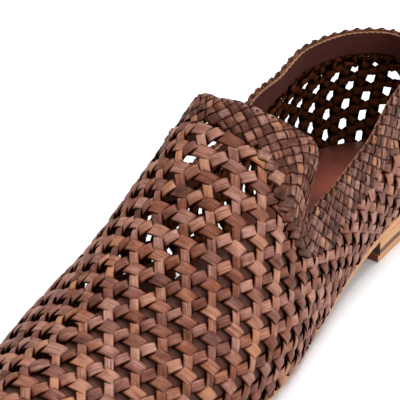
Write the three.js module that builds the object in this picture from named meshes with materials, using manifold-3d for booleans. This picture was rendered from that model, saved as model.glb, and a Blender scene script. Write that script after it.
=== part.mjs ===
import * as THREE from 'three';
import Module from 'manifold-3d';

const solids = await Module();
solids.setup();

// A woven leather loafer for the left foot, standing empty on its sole.
// Millimetres. While it is shaped, x runs from the heel's back to the toe, y to the wearer's left
// and z up from the floor. At the end the shoe is moved so that its box is centred over the origin.

// Sizes of the whole shoe
const SHOE_LENGTH = 276;
const SOLE_THICKNESS = 3.4;
const PIECE_GAP = 0.3; // between neighbouring pieces
const BORDER_GAP = 0.75; // between the weave and the band, along the surface
const HEEL_BREAST = 71; // the heel block's front, from the shoe's back
const HEEL_BREAST_HOLLOW = 2.5; // the breast is hollowed this much at its middle
const HEEL_TAPER = 1; // the heel narrows this much towards the floor
const TOP_PIECE_THICKNESS = 3;
const INSOLE_THICKNESS = 1.6;
const INSOLE_INSET = 2.4; // from the feather line to the insole's edge

// Sizes of the woven upper
const WALL = 1.7; // from the strips' edges through to the inside
const STRIP_RISE = 0.7; // a crossing stands this far over a strip's edge
const PIT_DEPTH = 0.7; // a lined gap's floor lies this far under the strips' edges
const HOLE_SPACING = 9.5; // between the centres of neighbouring gaps
const STRIP_WIDTH = 4.1;
const PATTERN_START = 189.1; // a gap's centre along the flat pattern
const PATTERN_ASIDE = -2.4; // that gap lies this far beside the centre line
const ASIDE_FROM = 40; // towards the back seam the pattern turns in to the centre line between these
const ASIDE_TO = 130;
const BAND_LOW = 0.5; // the plaited band's furrows over the strips' edges
const BAND_HIGH = 1.3; // the plaited band's squares over the strips' edges
const BAND_SQUARE = 5.3; // one square of the plait along the edge
const BAND_ROWS = 4; // squares across the band
const OPEN_GAP_MARGIN = 1.6; // a gap is cut through where it clears every border by this
const SMOOTHING = 0.1; // triangles are merged where the wall stays this close to its shape

// Shape of the last
const RIDGE_BACK = 26; // the ridge line starts this far in from the back
const RIDGE_FRONT = 34; // and ends this far before the toe tip
const ROUNDNESS = 2.15; // 2 is an ellipse, more is squarer
const BULGE = { ends: 2.5, lateral: 2, medial: 3 }; // how far the wall swells past the feather line
const BULGE_HEIGHT = 36;

// How far the medial wall stands out past that section, most at half its height
const MEDIAL_FULLNESS = [
  { along: 0, fullness: 0 },
  { along: 0.5, fullness: 0.4 },
  { along: 0.56, fullness: 2.3 },
  { along: 0.62, fullness: 2.3 },
  { along: 0.68, fullness: 3 },
  { along: 0.76, fullness: 0 },
  { along: 1, fullness: 0 },
];

// The feather line, where the upper meets the sole, from the toe tip to the heel's back
const FEATHER = [
  { along: 276, lateral: -4, medial: -4 },
  { along: 271, lateral: 9, medial: -17.5 },
  { along: 257, lateral: 21, medial: -27.5 },
  { along: 232, lateral: 33.7, medial: -36.8 },
  { along: 201, lateral: 43, medial: -41 },
  { along: 170, lateral: 44.6, medial: -37.2 },
  { along: 133, lateral: 38.7, medial: -26.7 },
  { along: 96, lateral: 33.1, medial: -24.5 },
  { along: 60, lateral: 30.8, medial: -27.5 },
  { along: 28, lateral: 28.5, medial: -28 },
  { along: 9, lateral: 19, medial: -18.5 },
  { along: 0, lateral: 0, medial: 0 },
];

// The side view: the sole's underside, the ridge over the instep and the ridge's sideways place
const PROFILE = [
  { along: 0, underside: 10.7, ridge: 108, aside: 0 },
  { along: 40, underside: 10.4, ridge: 110, aside: 0 },
  { along: 72, underside: 9.8, ridge: 108, aside: -1 },
  { along: 100, underside: 6.3, ridge: 101.5, aside: -2 },
  { along: 130, underside: 2, ridge: 90, aside: -3 },
  { along: 150, underside: 0.5, ridge: 77, aside: -4 },
  { along: 172, underside: 0, ridge: 61, aside: -4.5 },
  { along: 200, underside: 0, ridge: 45.5, aside: -5 },
  { along: 230, underside: 1.8, ridge: 35.5, aside: -5 },
  { along: 255, underside: 4.5, ridge: 30.5, aside: -4.5 },
  { along: 276, underside: 8, ridge: 27, aside: -4 },
];

// How far the sole's edge stands out past the feather line: cut close under the forepart, wider at the heel
const SOLE_MARGIN = [
  { along: 0, margin: -0.6 },
  { along: 0.35, margin: -1 },
  { along: 0.5, margin: -0.7 },
  { along: 0.64, margin: 0.2 },
  { along: 0.76, margin: 0.9 },
  { along: 1, margin: 0.9 },
];

// The plaited band from the middle of the tongue, round its ear into the notch and back to the heel.
// Places on the last: 'along' from 0 at the toe to 1 at the back, 'up' from 0 at the feather line to
// 1 at the ridge. The first pair is the top line, the second the band's border on the weave.
const BAND = [
  { along: 0.537, up: 1, borderAlong: 0.508, borderUp: 1 },
  { along: 0.543, up: 0.905, borderAlong: 0.513, borderUp: 0.862 },
  { along: 0.556, up: 0.732, borderAlong: 0.522, borderUp: 0.71 },
  { along: 0.576, up: 0.579, borderAlong: 0.524, borderUp: 0.6 },
  { along: 0.59, up: 0.5, borderAlong: 0.522, borderUp: 0.52 },
  { along: 0.591, up: 0.44, borderAlong: 0.521, borderUp: 0.455 },
  { along: 0.573, up: 0.409, borderAlong: 0.52, borderUp: 0.4 },
  { along: 0.553, up: 0.385, borderAlong: 0.52, borderUp: 0.345 },
  { along: 0.545, up: 0.352, borderAlong: 0.525, borderUp: 0.285 },
  { along: 0.556, up: 0.334, borderAlong: 0.54, borderUp: 0.232 },
  { along: 0.578, up: 0.322, borderAlong: 0.566, borderUp: 0.197 },
  { along: 0.605, up: 0.3, borderAlong: 0.6, borderUp: 0.18 },
  { along: 0.645, up: 0.287, borderAlong: 0.645, borderUp: 0.175 },
  { along: 0.692, up: 0.291, borderAlong: 0.692, borderUp: 0.18 },
  { along: 0.744, up: 0.341, borderAlong: 0.744, borderUp: 0.21 },
  { along: 0.8, up: 0.37, borderAlong: 0.8, borderUp: 0.232 },
  { along: 0.9, up: 0.385, borderAlong: 0.9, borderUp: 0.247 },
  { along: 1, up: 0.388, borderAlong: 1, borderUp: 0.25 },
];

// How much higher the top line runs behind the notch at the medial side
const MEDIAL_RISE = [
  { along: 0.58, rise: 0 },
  { along: 0.645, rise: 0.012 },
  { along: 0.692, rise: 0.034 },
  { along: 0.744, rise: -0.011 },
  { along: 0.8, rise: 0 },
];

// The woven half is laid flat up to this height on the last, a little over the top line
const FLAT_REACH = [
  { along: 0, up: 1 },
  { along: 0.56, up: 1 },
  { along: 0.6, up: 0.68 },
  { along: 0.64, up: 0.45 },
  { along: 0.7, up: 0.42 },
  { along: 1, up: 0.45 },
];

// Gaps of the weave are cut through above the forepart's lining, up to the stiffened heel back.
// The lining's upper edge at each side, over 1 where it covers all
const LINING_EDGE = [
  { along: 0.22, lateral: 1.1, medial: 1.1 },
  { along: 0.3, lateral: 0.92, medial: 0.58 },
  { along: 0.34, lateral: 0.8, medial: 0.5 },
  { along: 0.4, lateral: 0.66, medial: 0.45 },
  { along: 0.47, lateral: 0.58, medial: 0.42 },
  { along: 0.52, lateral: 0.1, medial: 0 },
];
const OPEN_UNTIL = 0.9;

const LATERAL = 1;
const MEDIAL = -1;

// A smooth value from a table sorted by 'along'
function smoothValue(rows, column, along) {
  const last = rows.length - 1;
  const x = Math.min(Math.max(along, rows[0].along), rows[last].along);
  let i = 0;
  while (i < last - 1 && x > rows[i + 1].along) {
    i += 1;
  }
  const slope = (k) => (rows[k + 1][column] - rows[k][column]) / (rows[k + 1].along - rows[k].along);
  const tangent = (k) => {
    if (k === 0) {
      return slope(0);
    }
    if (k === last) {
      return slope(last - 1);
    }
    const before = rows[k].along - rows[k - 1].along;
    const after = rows[k + 1].along - rows[k].along;
    return (slope(k - 1) * after + slope(k) * before) / (before + after);
  };
  const step = rows[i + 1].along - rows[i].along;
  const t = (x - rows[i].along) / step;
  const left = (1 + 2 * t) * (1 - t) ** 2 * rows[i][column] + t * (1 - t) ** 2 * step * tangent(i);
  const right = t * t * (3 - 2 * t) * rows[i + 1][column] + t * t * (t - 1) * step * tangent(i + 1);
  return left + right;
}

// A straight-line value from a table sorted by 'along'
function plainValue(rows, column, along) {
  let i = 0;
  while (i < rows.length - 2 && along > rows[i + 1].along) {
    i += 1;
  }
  const t = (along - rows[i].along) / (rows[i + 1].along - rows[i].along);
  return rows[i][column] + (rows[i + 1][column] - rows[i][column]) * Math.min(Math.max(t, 0), 1);
}

const underside = (x) => Math.max(0, smoothValue(PROFILE, 'underside', x));
const soleTop = (x) => underside(x) + SOLE_THICKNESS;

function featherPoints(side) {
  const column = side === LATERAL ? 'lateral' : 'medial';
  return FEATHER.map((row) => new THREE.Vector2(row.along, row[column]));
}
const FEATHER_POINTS = { [LATERAL]: featherPoints(LATERAL), [MEDIAL]: featherPoints(MEDIAL) };

// The feather line at 'along' from 0, the toe tip, to 1, the heel's back
function featherLine(side, along) {
  const own = FEATHER_POINTS[side];
  const other = FEATHER_POINTS[-side];
  const last = own.length - 1;
  const at = (k) => {
    if (k < 0) {
      return other[1];
    }
    return k > last ? other[last - 1] : own[k];
  };
  const place = Math.min(Math.max(along, 0), 1) * last;
  const i = Math.min(Math.floor(place), last - 1);
  const t = place - i;
  const legs = [at(i).clone().sub(at(i - 1)), at(i + 1).clone().sub(at(i)), at(i + 2).clone().sub(at(i + 1))];
  const span = legs[1].length();
  const tangent = (one, two) => {
    const a = one.length();
    const b = two.length();
    const direction = one.clone().multiplyScalar(b / a).add(two.clone().multiplyScalar(a / b));
    return direction.multiplyScalar(span / (a + b));
  };
  const start = at(i).clone().multiplyScalar((1 + 2 * t) * (1 - t) ** 2);
  start.addScaledVector(tangent(legs[0], legs[1]), t * (1 - t) ** 2);
  start.addScaledVector(at(i + 1), t * t * (3 - 2 * t));
  start.addScaledVector(tangent(legs[1], legs[2]), t * t * (t - 1));
  return start;
}

// A point of the last's surface
function lastPoint(side, along, up) {
  const edge = featherLine(side, along);
  const ridgeX = RIDGE_BACK + (SHOE_LENGTH - RIDGE_FRONT - RIDGE_BACK) * edge.x / SHOE_LENGTH;
  const ridgeY = smoothValue(PROFILE, 'aside', ridgeX);
  const angle = Math.min(Math.max(up, 0), 1) * Math.PI / 2;
  const inward = 1 - Math.max(Math.cos(angle), 0) ** (2 / ROUNDNESS);
  const upward = Math.max(Math.sin(angle), 0) ** (2 / ROUNDNESS);
  const x = edge.x + (ridgeX - edge.x) * inward;
  const y = edge.y + (ridgeY - edge.y) * inward;
  const rise = (smoothValue(PROFILE, 'ridge', x) - soleTop(edge.x)) * upward;
  const outward = new THREE.Vector2(edge.x - ridgeX, edge.y - ridgeY).normalize();
  const sideSwell = (side === LATERAL ? BULGE.lateral : BULGE.medial) - BULGE.ends;
  const swell = BULGE.ends + sideSwell * Math.sin(Math.PI * Math.min(Math.max(along, 0), 1));
  const low = swell * Math.sin(Math.PI * Math.min(Math.max(rise / BULGE_HEIGHT, 0), 1));
  const full = side === MEDIAL ? smoothValue(MEDIAL_FULLNESS, 'fullness', along) * Math.sin(2 * angle) : 0;
  outward.multiplyScalar(low + full);
  return new THREE.Vector3(x + outward.x, y + outward.y, soleTop(edge.x) + rise);
}

// The outward direction of the last's surface, the same for both sides at the back seam
function lastNormal(ownSide, along, up) {
  const step = 0.004;
  const side = along > 1 - 1e-6 ? LATERAL : ownSide;
  const s = Math.min(Math.max(along, 2 * step), 1 - step);
  const a = Math.min(Math.max(up, 2 * step), 1 - 2 * step);
  const alongWay = lastPoint(side, s + step, a).sub(lastPoint(side, s - step, a));
  const upWay = lastPoint(side, s, a + step).sub(lastPoint(side, s, a - step));
  const normal = alongWay.cross(upWay).normalize();
  normal.multiplyScalar(side);
  if (along > 1 - 1e-6) {
    normal.y = 0;
    normal.normalize();
  }
  return normal;
}

// A point at a distance from the last's surface
function wallPoint(side, along, up, distance) {
  return lastPoint(side, along, up).addScaledVector(lastNormal(side, along, up), distance);
}

// A closed surface collected from points and triangles
class Shell {
  constructor() {
    this.points = [];
    this.triangles = [];
    this.known = new Map();
  }

  point(place) {
    const key = [place.x, place.y, place.z].map((value) => Math.round(value * 2000)).join(' ');
    if (!this.known.has(key)) {
      this.known.set(key, this.points.length);
      this.points.push(place);
    }
    return this.known.get(key);
  }

  triangle(a, b, c) {
    if (a !== b && b !== c && c !== a) {
      this.triangles.push([a, b, c]);
    }
  }

  quad(a, b, c, d) {
    this.triangle(a, b, c);
    this.triangle(a, c, d);
  }

  // The same surface with fewer triangles
  simplified(tolerance) {
    const vertProperties = new Float32Array(this.points.flatMap((place) => place.toArray()));
    const triVerts = new Uint32Array(this.triangles.flat());
    const solid = new solids.Manifold(new solids.Mesh({ numProp: 3, vertProperties, triVerts }));
    const merged = solid.simplify(tolerance).getMesh();
    const shell = new Shell();
    for (let k = 0; k < merged.numVert; k += 1) {
      shell.points.push(new THREE.Vector3(...merged.position(k)));
    }
    for (let k = 0; k < merged.numTri; k += 1) {
      shell.triangles.push([...merged.verts(k)]);
    }
    return shell;
  }

  mesh(name, colour, roughness) {
    const geometry = new THREE.BufferGeometry();
    const flat = this.points.flatMap((place) => [place.x, place.y, place.z]);
    geometry.setAttribute('position', new THREE.Float32BufferAttribute(flat, 3));
    geometry.setIndex(this.triangles.flat());
    geometry.computeVertexNormals();
    const material = new THREE.MeshStandardMaterial({ color: colour, roughness, name });
    const mesh = new THREE.Mesh(geometry, material);
    mesh.name = name;
    return mesh;
  }
}

// The half pattern laid flat

const FLAT_COLUMNS = 44;
const FLAT_ROWS = 12;
const FLAT_ROUNDS = 4000;
const FLAT_EASE = 0.45;

// Both halves have one flat pattern: its lengths are the mean of the two sides of the last
function flattenPattern() {
  const width = FLAT_ROWS + 1;
  const node = (i, j) => i * width + j;
  const places = [];
  const solid = { [LATERAL]: [], [MEDIAL]: [] };
  const flat = [];
  for (let i = 0; i <= FLAT_COLUMNS; i += 1) {
    const along = i / FLAT_COLUMNS;
    const reach = plainValue(FLAT_REACH, 'up', along);
    const edge = featherLine(LATERAL, along);
    const ridgeX = RIDGE_BACK + (SHOE_LENGTH - RIDGE_FRONT - RIDGE_BACK) * edge.x / SHOE_LENGTH;
    const heading = Math.atan2(edge.y - smoothValue(PROFILE, 'aside', ridgeX), edge.x - ridgeX);
    for (let j = 0; j <= FLAT_ROWS; j += 1) {
      const up = reach * j / FLAT_ROWS;
      places.push({ along, up });
      solid[LATERAL].push(lastPoint(LATERAL, along, up));
      solid[MEDIAL].push(lastPoint(MEDIAL, along, up));
      const below = lengthToRidge(along, up);
      flat.push(new THREE.Vector2(ridgeX * 1.2 + below * Math.cos(heading), below * Math.sin(heading)));
    }
  }
  const springs = [];
  const addSpring = (a, b) => {
    const lengths = [LATERAL, MEDIAL].map((side) => solid[side][a].distanceTo(solid[side][b]));
    springs.push({ a, b, length: (lengths[0] + lengths[1]) / 2 });
  };
  for (let i = 0; i <= FLAT_COLUMNS; i += 1) {
    for (let j = 0; j <= FLAT_ROWS; j += 1) {
      if (i < FLAT_COLUMNS) {
        addSpring(node(i, j), node(i + 1, j));
      }
      if (j < FLAT_ROWS) {
        addSpring(node(i, j), node(i, j + 1));
      }
      if (i < FLAT_COLUMNS && j < FLAT_ROWS) {
        addSpring(node(i, j), node(i + 1, j + 1));
        addSpring(node(i + 1, j), node(i, j + 1));
      }
    }
  }
  const onCentre = places.map((place) => place.along === 0 || (place.up > 0.999 && place.along < 0.57));
  for (let round = 0; round < FLAT_ROUNDS; round += 1) {
    const shift = flat.map(() => new THREE.Vector2());
    for (const spring of springs) {
      const way = flat[spring.b].clone().sub(flat[spring.a]);
      const length = Math.max(way.length(), 1e-6);
      way.multiplyScalar(FLAT_EASE * 0.5 * (length - spring.length) / length);
      shift[spring.a].add(way);
      shift[spring.b].sub(way);
    }
    flat.forEach((point, k) => {
      point.addScaledVector(shift[k], 0.5);
      point.y = onCentre[k] ? 0 : Math.max(point.y, 0);
    });
  }
  return { places, flat, node };
}

// The way over the surface from a place up to the ridge
function lengthToRidge(along, up) {
  const steps = 24;
  let length = 0;
  let before = lastPoint(LATERAL, along, up);
  for (let k = 1; k <= steps; k += 1) {
    const next = lastPoint(LATERAL, along, up + (1 - up) * k / steps);
    length += next.distanceTo(before);
    before = next;
  }
  return length;
}

// Triangles of the flat pattern, with a margin past the feather line and past the back seam
function patternTriangles() {
  const { places, flat, node } = flattenPattern();
  const margin = 0.3;
  const corner = (i, j) => {
    const ci = Math.min(i, FLAT_COLUMNS);
    const cj = Math.max(j, 0);
    const place = { ...places[node(ci, cj)] };
    const point = flat[node(ci, cj)].clone();
    if (j < 0) {
      const next = node(ci, 1);
      const scale = margin / places[next].up;
      point.addScaledVector(flat[next].clone().sub(flat[node(ci, 0)]), -scale);
      place.up = -margin;
    }
    if (i > FLAT_COLUMNS) {
      const inner = node(FLAT_COLUMNS - 2, cj);
      point.addScaledVector(flat[inner].clone().sub(flat[node(FLAT_COLUMNS, cj)]), -1);
      place.along = 2 - places[inner].along;
    }
    return { point, place };
  };
  const triangles = [];
  for (let i = 0; i <= FLAT_COLUMNS; i += 1) {
    for (let j = -1; j < FLAT_ROWS; j += 1) {
      const a = corner(i, j);
      const b = corner(i + 1, j);
      const c = corner(i + 1, j + 1);
      const d = corner(i, j + 1);
      triangles.push([a, b, c], [a, c, d]);
    }
  }
  return triangles;
}

const PATTERN = patternTriangles();

// The place on the last for a point of the flat pattern, or null off the pattern
function locate(u, v) {
  const slack = -1e-7;
  for (const [a, b, c] of PATTERN) {
    const area = (b.point.x - a.point.x) * (c.point.y - a.point.y) - (c.point.x - a.point.x) * (b.point.y - a.point.y);
    const wb = ((u - a.point.x) * (c.point.y - a.point.y) - (c.point.x - a.point.x) * (v - a.point.y)) / area;
    const wc = ((b.point.x - a.point.x) * (v - a.point.y) - (u - a.point.x) * (b.point.y - a.point.y)) / area;
    const wa = 1 - wb - wc;
    if (wa >= slack && wb >= slack && wc >= slack) {
      return {
        along: wa * a.place.along + wb * b.place.along + wc * c.place.along,
        up: wa * a.place.up + wb * b.place.up + wc * c.place.up,
      };
    }
  }
  return null;
}

// The flat point of a place on the last
function layFlat(along, up) {
  for (const [a, b, c] of PATTERN) {
    const p = (k) => new THREE.Vector2(k.place.along, k.place.up);
    const ab = p(b).sub(p(a));
    const ac = p(c).sub(p(a));
    const at = new THREE.Vector2(along, up).sub(p(a));
    const area = ab.cross(ac);
    const wb = at.cross(ac) / area;
    const wc = ab.cross(at) / area;
    if (wb >= -1e-6 && wc >= -1e-6 && wb + wc <= 1 + 1e-6) {
      return a.point.clone().multiplyScalar(1 - wb - wc).addScaledVector(b.point, wb).addScaledVector(c.point, wc);
    }
  }
  throw new Error(`no flat point for ${along} ${up}`);
}

// The plaited band

// A smooth column of the band's table; the place runs from 0 at the tongue to 1 at the heel
function bandValue(column, place) {
  const last = BAND.length - 1;
  const t = Math.min(Math.max(place, 0), 1) * last;
  const i = Math.min(Math.floor(t), last - 1);
  const at = (k) => BAND[Math.min(Math.max(k, 0), last)][column];
  const f = t - i;
  const start = (at(i + 1) - at(i - 1)) / 2;
  const end = (at(i + 2) - at(i)) / 2;
  const left = (1 + 2 * f) * (1 - f) ** 2 * at(i) + f * (1 - f) ** 2 * start;
  return left + f * f * (3 - 2 * f) * at(i + 1) + f * f * (f - 1) * end;
}

// A place on the last between the top line, 0, and the band's border, 1
function bandPlace(side, place, across) {
  const along = bandValue('along', place);
  const rise = side === MEDIAL ? smoothValue(MEDIAL_RISE, 'rise', along) : 0;
  const up = bandValue('up', place) + rise;
  return {
    along: along + (bandValue('borderAlong', place) - along) * across,
    up: up + (bandValue('borderUp', place) - up) * across,
  };
}

// Places along the band whose squares are evenly long
function bandColumns() {
  const fine = 600;
  const lengths = [0];
  const start = bandPlace(LATERAL, 0, 0.4);
  let before = lastPoint(LATERAL, start.along, start.up);
  for (let k = 1; k <= fine; k += 1) {
    const { along, up } = bandPlace(LATERAL, k / fine, 0.4);
    const next = lastPoint(LATERAL, along, up);
    lengths.push(lengths[k - 1] + next.distanceTo(before));
    before = next;
  }
  const count = Math.round(lengths[fine] / BAND_SQUARE);
  const columns = [];
  let k = 0;
  for (let c = 0; c <= count; c += 1) {
    const wanted = lengths[fine] * c / count;
    while (k < fine - 1 && lengths[k + 1] < wanted) {
      k += 1;
    }
    columns.push((k + (wanted - lengths[k]) / (lengths[k + 1] - lengths[k])) / fine);
  }
  return columns;
}

function makeBand() {
  const shell = new Shell();
  const columns = bandColumns();
  const last = columns.length - 1;
  const ring = columns.map((place) => ({ side: LATERAL, place }));
  for (let k = last - 1; k > 0; k -= 1) {
    ring.push({ side: MEDIAL, place: columns[k] });
  }
  const corner = (k, across, distance) => {
    const { side, place } = ring[k % ring.length];
    const { along, up } = bandPlace(side, place, across);
    return shell.point(wallPoint(side, along, up, distance));
  };
  const middle = (k, row) => {
    const here = ring[k];
    const next = ring[(k + 1) % ring.length];
    const side = here.side === MEDIAL || next.side === MEDIAL ? MEDIAL : LATERAL;
    const { along, up } = bandPlace(side, (here.place + next.place) / 2, (row + 0.5) / BAND_ROWS);
    return shell.point(wallPoint(side, along, up, BAND_HIGH));
  };
  const inside = [0, 0.5, 1];
  for (let k = 0; k < ring.length; k += 1) {
    for (let row = 0; row < BAND_ROWS; row += 1) {
      const a = corner(k, row / BAND_ROWS, BAND_LOW);
      const b = corner(k + 1, row / BAND_ROWS, BAND_LOW);
      const c = corner(k + 1, (row + 1) / BAND_ROWS, BAND_LOW);
      const d = corner(k, (row + 1) / BAND_ROWS, BAND_LOW);
      const top = middle(k, row);
      shell.triangle(b, a, top);
      shell.triangle(c, b, top);
      shell.triangle(d, c, top);
      shell.triangle(a, d, top);
    }
    for (let row = 0; row < inside.length - 1; row += 1) {
      const a = corner(k, inside[row], -WALL);
      const b = corner(k + 1, inside[row], -WALL);
      const c = corner(k + 1, inside[row + 1], -WALL);
      const d = corner(k, inside[row + 1], -WALL);
      shell.quad(a, b, c, d);
    }
    shell.quad(corner(k, 0, BAND_LOW), corner(k + 1, 0, BAND_LOW), corner(k + 1, 0, -WALL), corner(k, 0, -WALL));
    shell.quad(corner(k, 1, -WALL), corner(k + 1, 1, -WALL), corner(k + 1, 1, BAND_LOW), corner(k, 1, BAND_LOW));
  }
  return shell;
}

// The woven wall

// The band's border on the flat pattern, from the centre line to the back seam and past it
function borderLine() {
  const count = 120;
  const line = [];
  for (let k = 0; k <= count; k += 1) {
    const { along, up } = bandPlace(LATERAL, k / count, 1);
    line.push(layFlat(along, Math.min(up, 1)));
  }
  const first = line[0];
  line.unshift(new THREE.Vector2(first.x, -40));
  const end = line[line.length - 1];
  line.push(end.clone().add(end.clone().sub(line[line.length - 3]).multiplyScalar(20)));
  return line;
}

const BORDER = borderLine();

// How far a flat point lies on the weave's side of the border
function borderClearance(u, v) {
  let best = Infinity;
  let clearance = 0;
  for (let k = 0; k < BORDER.length - 1; k += 1) {
    const a = BORDER[k];
    const b = BORDER[k + 1];
    const way = b.clone().sub(a);
    const from = new THREE.Vector2(u, v).sub(a);
    const t = Math.min(Math.max(from.dot(way) / way.lengthSq(), 0), 1);
    const distance = from.distanceTo(way.clone().multiplyScalar(t));
    if (distance < best - 1e-9) {
      best = distance;
      clearance = -Math.sign(way.cross(from)) * distance;
    }
  }
  return clearance;
}

// A point of the weave this close to a border counts as lying on it: shares of the last, millimetres
// along the surface for the band
const SNAP = { sole: 0.004, band: 0.25, back: 0.0015 };

// A point of the weave with what the cutting needs to know about it
function weavePoint(u, v, distance) {
  const front = Math.min(Math.max((u - ASIDE_FROM) / (ASIDE_TO - ASIDE_FROM), 0), 1);
  const fromCentre = v + PATTERN_ASIDE * front;
  const side = fromCentre > -1e-6 ? LATERAL : MEDIAL;
  const place = locate(u, Math.abs(fromCentre));
  if (place === null) {
    return null;
  }
  const snap = (value, reach) => (Math.abs(value) < reach ? 0 : value);
  const clear = {
    sole: snap(place.up, SNAP.sole),
    band: snap(borderClearance(u, Math.abs(fromCentre)) - BORDER_GAP, SNAP.band),
    back: snap(1 - place.along, SNAP.back),
  };
  return { u, v, side, place, distance, clear };
}

// The part of a polygon on the kept side of one border
function clipPolygon(polygon, border) {
  const kept = [];
  polygon.forEach((here, k) => {
    const next = polygon[(k + 1) % polygon.length];
    const inside = here.clear[border] >= 0;
    if (inside) {
      kept.push(here);
    }
    if (inside !== next.clear[border] >= 0) {
      const [first, second] = here.u + here.v * 0.618 < next.u + next.v * 0.618 ? [here, next] : [next, here];
      const t = first.clear[border] / (first.clear[border] - second.clear[border]);
      const mix = (a, b) => a + (b - a) * t;
      const cut = weavePoint(mix(first.u, second.u), mix(first.v, second.v), mix(first.distance, second.distance));
      cut.clear[border] = 0;
      kept.push(cut);
    }
  });
  return kept;
}

function makeUpper() {
  const outer = new Shell();
  const partner = new Map();
  const half = HOLE_SPACING / 2;
  const column = HOLE_SPACING * Math.cos(Math.PI / 6);
  const rimShare = 1 - STRIP_WIDTH / 2 / column;
  const insidePoint = (point) => placed(point, -WALL);
  const placed = (point, distance) => {
    const along = point.clear.back === 0 ? 1 : point.place.along;
    const solid = wallPoint(point.side, along, point.place.up, distance);
    const floor = soleTop(solid.x) + PIECE_GAP;
    if (point.clear.sole === 0 || solid.z < floor) {
      solid.z = floor;
    }
    return solid;
  };
  const outerId = (point) => {
    const id = outer.point(placed(point, point.distance));
    if (!partner.has(id)) {
      partner.set(id, outer.point(insidePoint(point)));
    }
    return id;
  };
  const addFace = (polygon, inner) => {
    let cut = polygon;
    for (const border of ['sole', 'band', 'back']) {
      cut = clipPolygon(cut, border);
    }
    const ids = cut.map(outerId);
    for (let k = 1; k < ids.length - 1; k += 1) {
      outer.triangle(ids[0], ids[k], ids[k + 1]);
      if (inner) {
        outer.triangle(partner.get(ids[0]), partner.get(ids[k + 1]), partner.get(ids[k]));
      }
    }
  };
  const whole = (point) => point !== null && Object.values(point.clear).every((value) => value >= 0);
  const addCell = (u, v) => {
    const corner = (k, share, distance) => {
      const angle = Math.PI / 6 + k * Math.PI / 3;
      return weavePoint(u + half * share * Math.cos(angle), v + half * share * Math.sin(angle), distance);
    };
    const turns = [0, 1, 2, 3, 4, 5];
    const crossings = turns.map((k) => corner(k, 1, STRIP_RISE));
    const rims = turns.map((k) => corner(k, rimShare, 0));
    const middle = weavePoint(u, v, -PIT_DEPTH);
    if ([...crossings, ...rims, middle].some((point) => point === null)) {
      return;
    }
    const uncut = crossings.every(whole);
    const lining = plainValue(LINING_EDGE, middle.side === LATERAL ? 'lateral' : 'medial', middle.place.along);
    const unlined = middle.place.up > lining && middle.place.along < OPEN_UNTIL;
    const clearOfBorders = rims.every((point) => whole(point) && point.clear.band > OPEN_GAP_MARGIN);
    const open = uncut && clearOfBorders && unlined;
    for (const k of turns) {
      const n = (k + 1) % 6;
      if (open) {
        addFace([rims[k], crossings[k], crossings[n]], true);
        addFace([rims[k], crossings[n], rims[n]], true);
      } else {
        addFace([middle, crossings[k], crossings[n]], !uncut);
      }
    }
    if (!open && uncut) {
      const ids = crossings.map((point) => partner.get(outerId(point)));
      for (let k = 1; k < 5; k += 1) {
        outer.triangle(ids[0], ids[k + 1], ids[k]);
      }
    }
  };
  const addBetween = (u, v) => {
    const third = HOLE_SPACING / 2 / Math.sqrt(3);
    for (const turn of [0, Math.PI]) {
      const centreU = u + 2 * third * Math.cos(Math.PI / 3 - turn / 3);
      const centreV = v + 2 * third * Math.sin(Math.PI / 3 - turn / 3);
      const corners = [0, 1, 2].map((k) => {
        const angle = Math.PI / 3 - turn / 3 + Math.PI + k * 2 * Math.PI / 3 + Math.PI / 3;
        return weavePoint(centreU + third * Math.cos(angle), centreV + third * Math.sin(angle), STRIP_RISE);
      });
      if (corners.every((point) => point !== null)) {
        addFace(corners, true);
      }
    }
  };
  const reach = 40;
  for (let c = -reach; c <= reach; c += 1) {
    for (let r = -reach; r <= reach; r += 1) {
      const u = PATTERN_START + c * column;
      const v = (r + (c % 2 === 0 ? 0 : 0.5)) * HOLE_SPACING;
      addCell(u, v);
      addBetween(u, v);
    }
  }
  closeRims(outer, partner);
  return outer;
}

// Walls from the outer face's free edges to the inside
function closeRims(shell, partner) {
  const used = new Map();
  for (const [a, b, c] of shell.triangles) {
    for (const [from, to] of [[a, b], [b, c], [c, a]]) {
      used.set(`${from} ${to}`, [from, to]);
    }
  }
  for (const [from, to] of used.values()) {
    if (!used.has(`${to} ${from}`) && partner.has(from) && partner.has(to)) {
      shell.quad(to, from, partner.get(from), partner.get(to));
    }
  }
}

// Sole, heel and insole

const soleMargin = (along) => plainValue(SOLE_MARGIN, 'margin', along);

// The feather line moved outwards by a margin
function soleEdge(side, along, margin) {
  const step = 0.002;
  const point = featherLine(side, along);
  const ahead = featherLine(side, Math.max(along - step, 0));
  const behind = featherLine(side, Math.min(along + step, 1));
  const way = ahead.sub(behind).normalize();
  if (along < 1e-6 || along > 1 - 1e-6) {
    way.set(0, along < 0.5 ? -side : side);
  }
  return point.add(new THREE.Vector2(-way.y, way.x).multiplyScalar(side * margin));
}

// A plate between two heights over rows of points that face each other across the shoe
function makePlate(rows, low, high) {
  const shell = new Shell();
  const at = (point, height) => shell.point(new THREE.Vector3(point.x, point.y, height(point.x)));
  for (let k = 0; k < rows.length - 1; k += 1) {
    const here = rows[k];
    const next = rows[k + 1];
    shell.quad(at(here[0], high), at(here[1], high), at(next[1], high), at(next[0], high));
    shell.quad(at(here[0], low), at(next[0], low), at(next[1], low), at(here[1], low));
    shell.quad(at(here[1], high), at(here[1], low), at(next[1], low), at(next[1], high));
    shell.quad(at(here[0], high), at(next[0], high), at(next[0], low), at(here[0], low));
  }
  for (const [row, flip] of [[rows[0], false], [rows[rows.length - 1], true]]) {
    const ends = flip ? [row[1], row[0]] : row;
    shell.quad(at(ends[0], high), at(ends[0], low), at(ends[1], low), at(ends[1], high));
  }
  return shell;
}

// Rows across the shoe from the toe towards the back
function crossRows(count, from, to, margin) {
  const rows = [];
  for (let k = 0; k <= count; k += 1) {
    const along = from + (to - from) * k / count;
    rows.push([soleEdge(MEDIAL, along, margin(along)), soleEdge(LATERAL, along, margin(along))]);
  }
  return rows;
}

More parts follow.
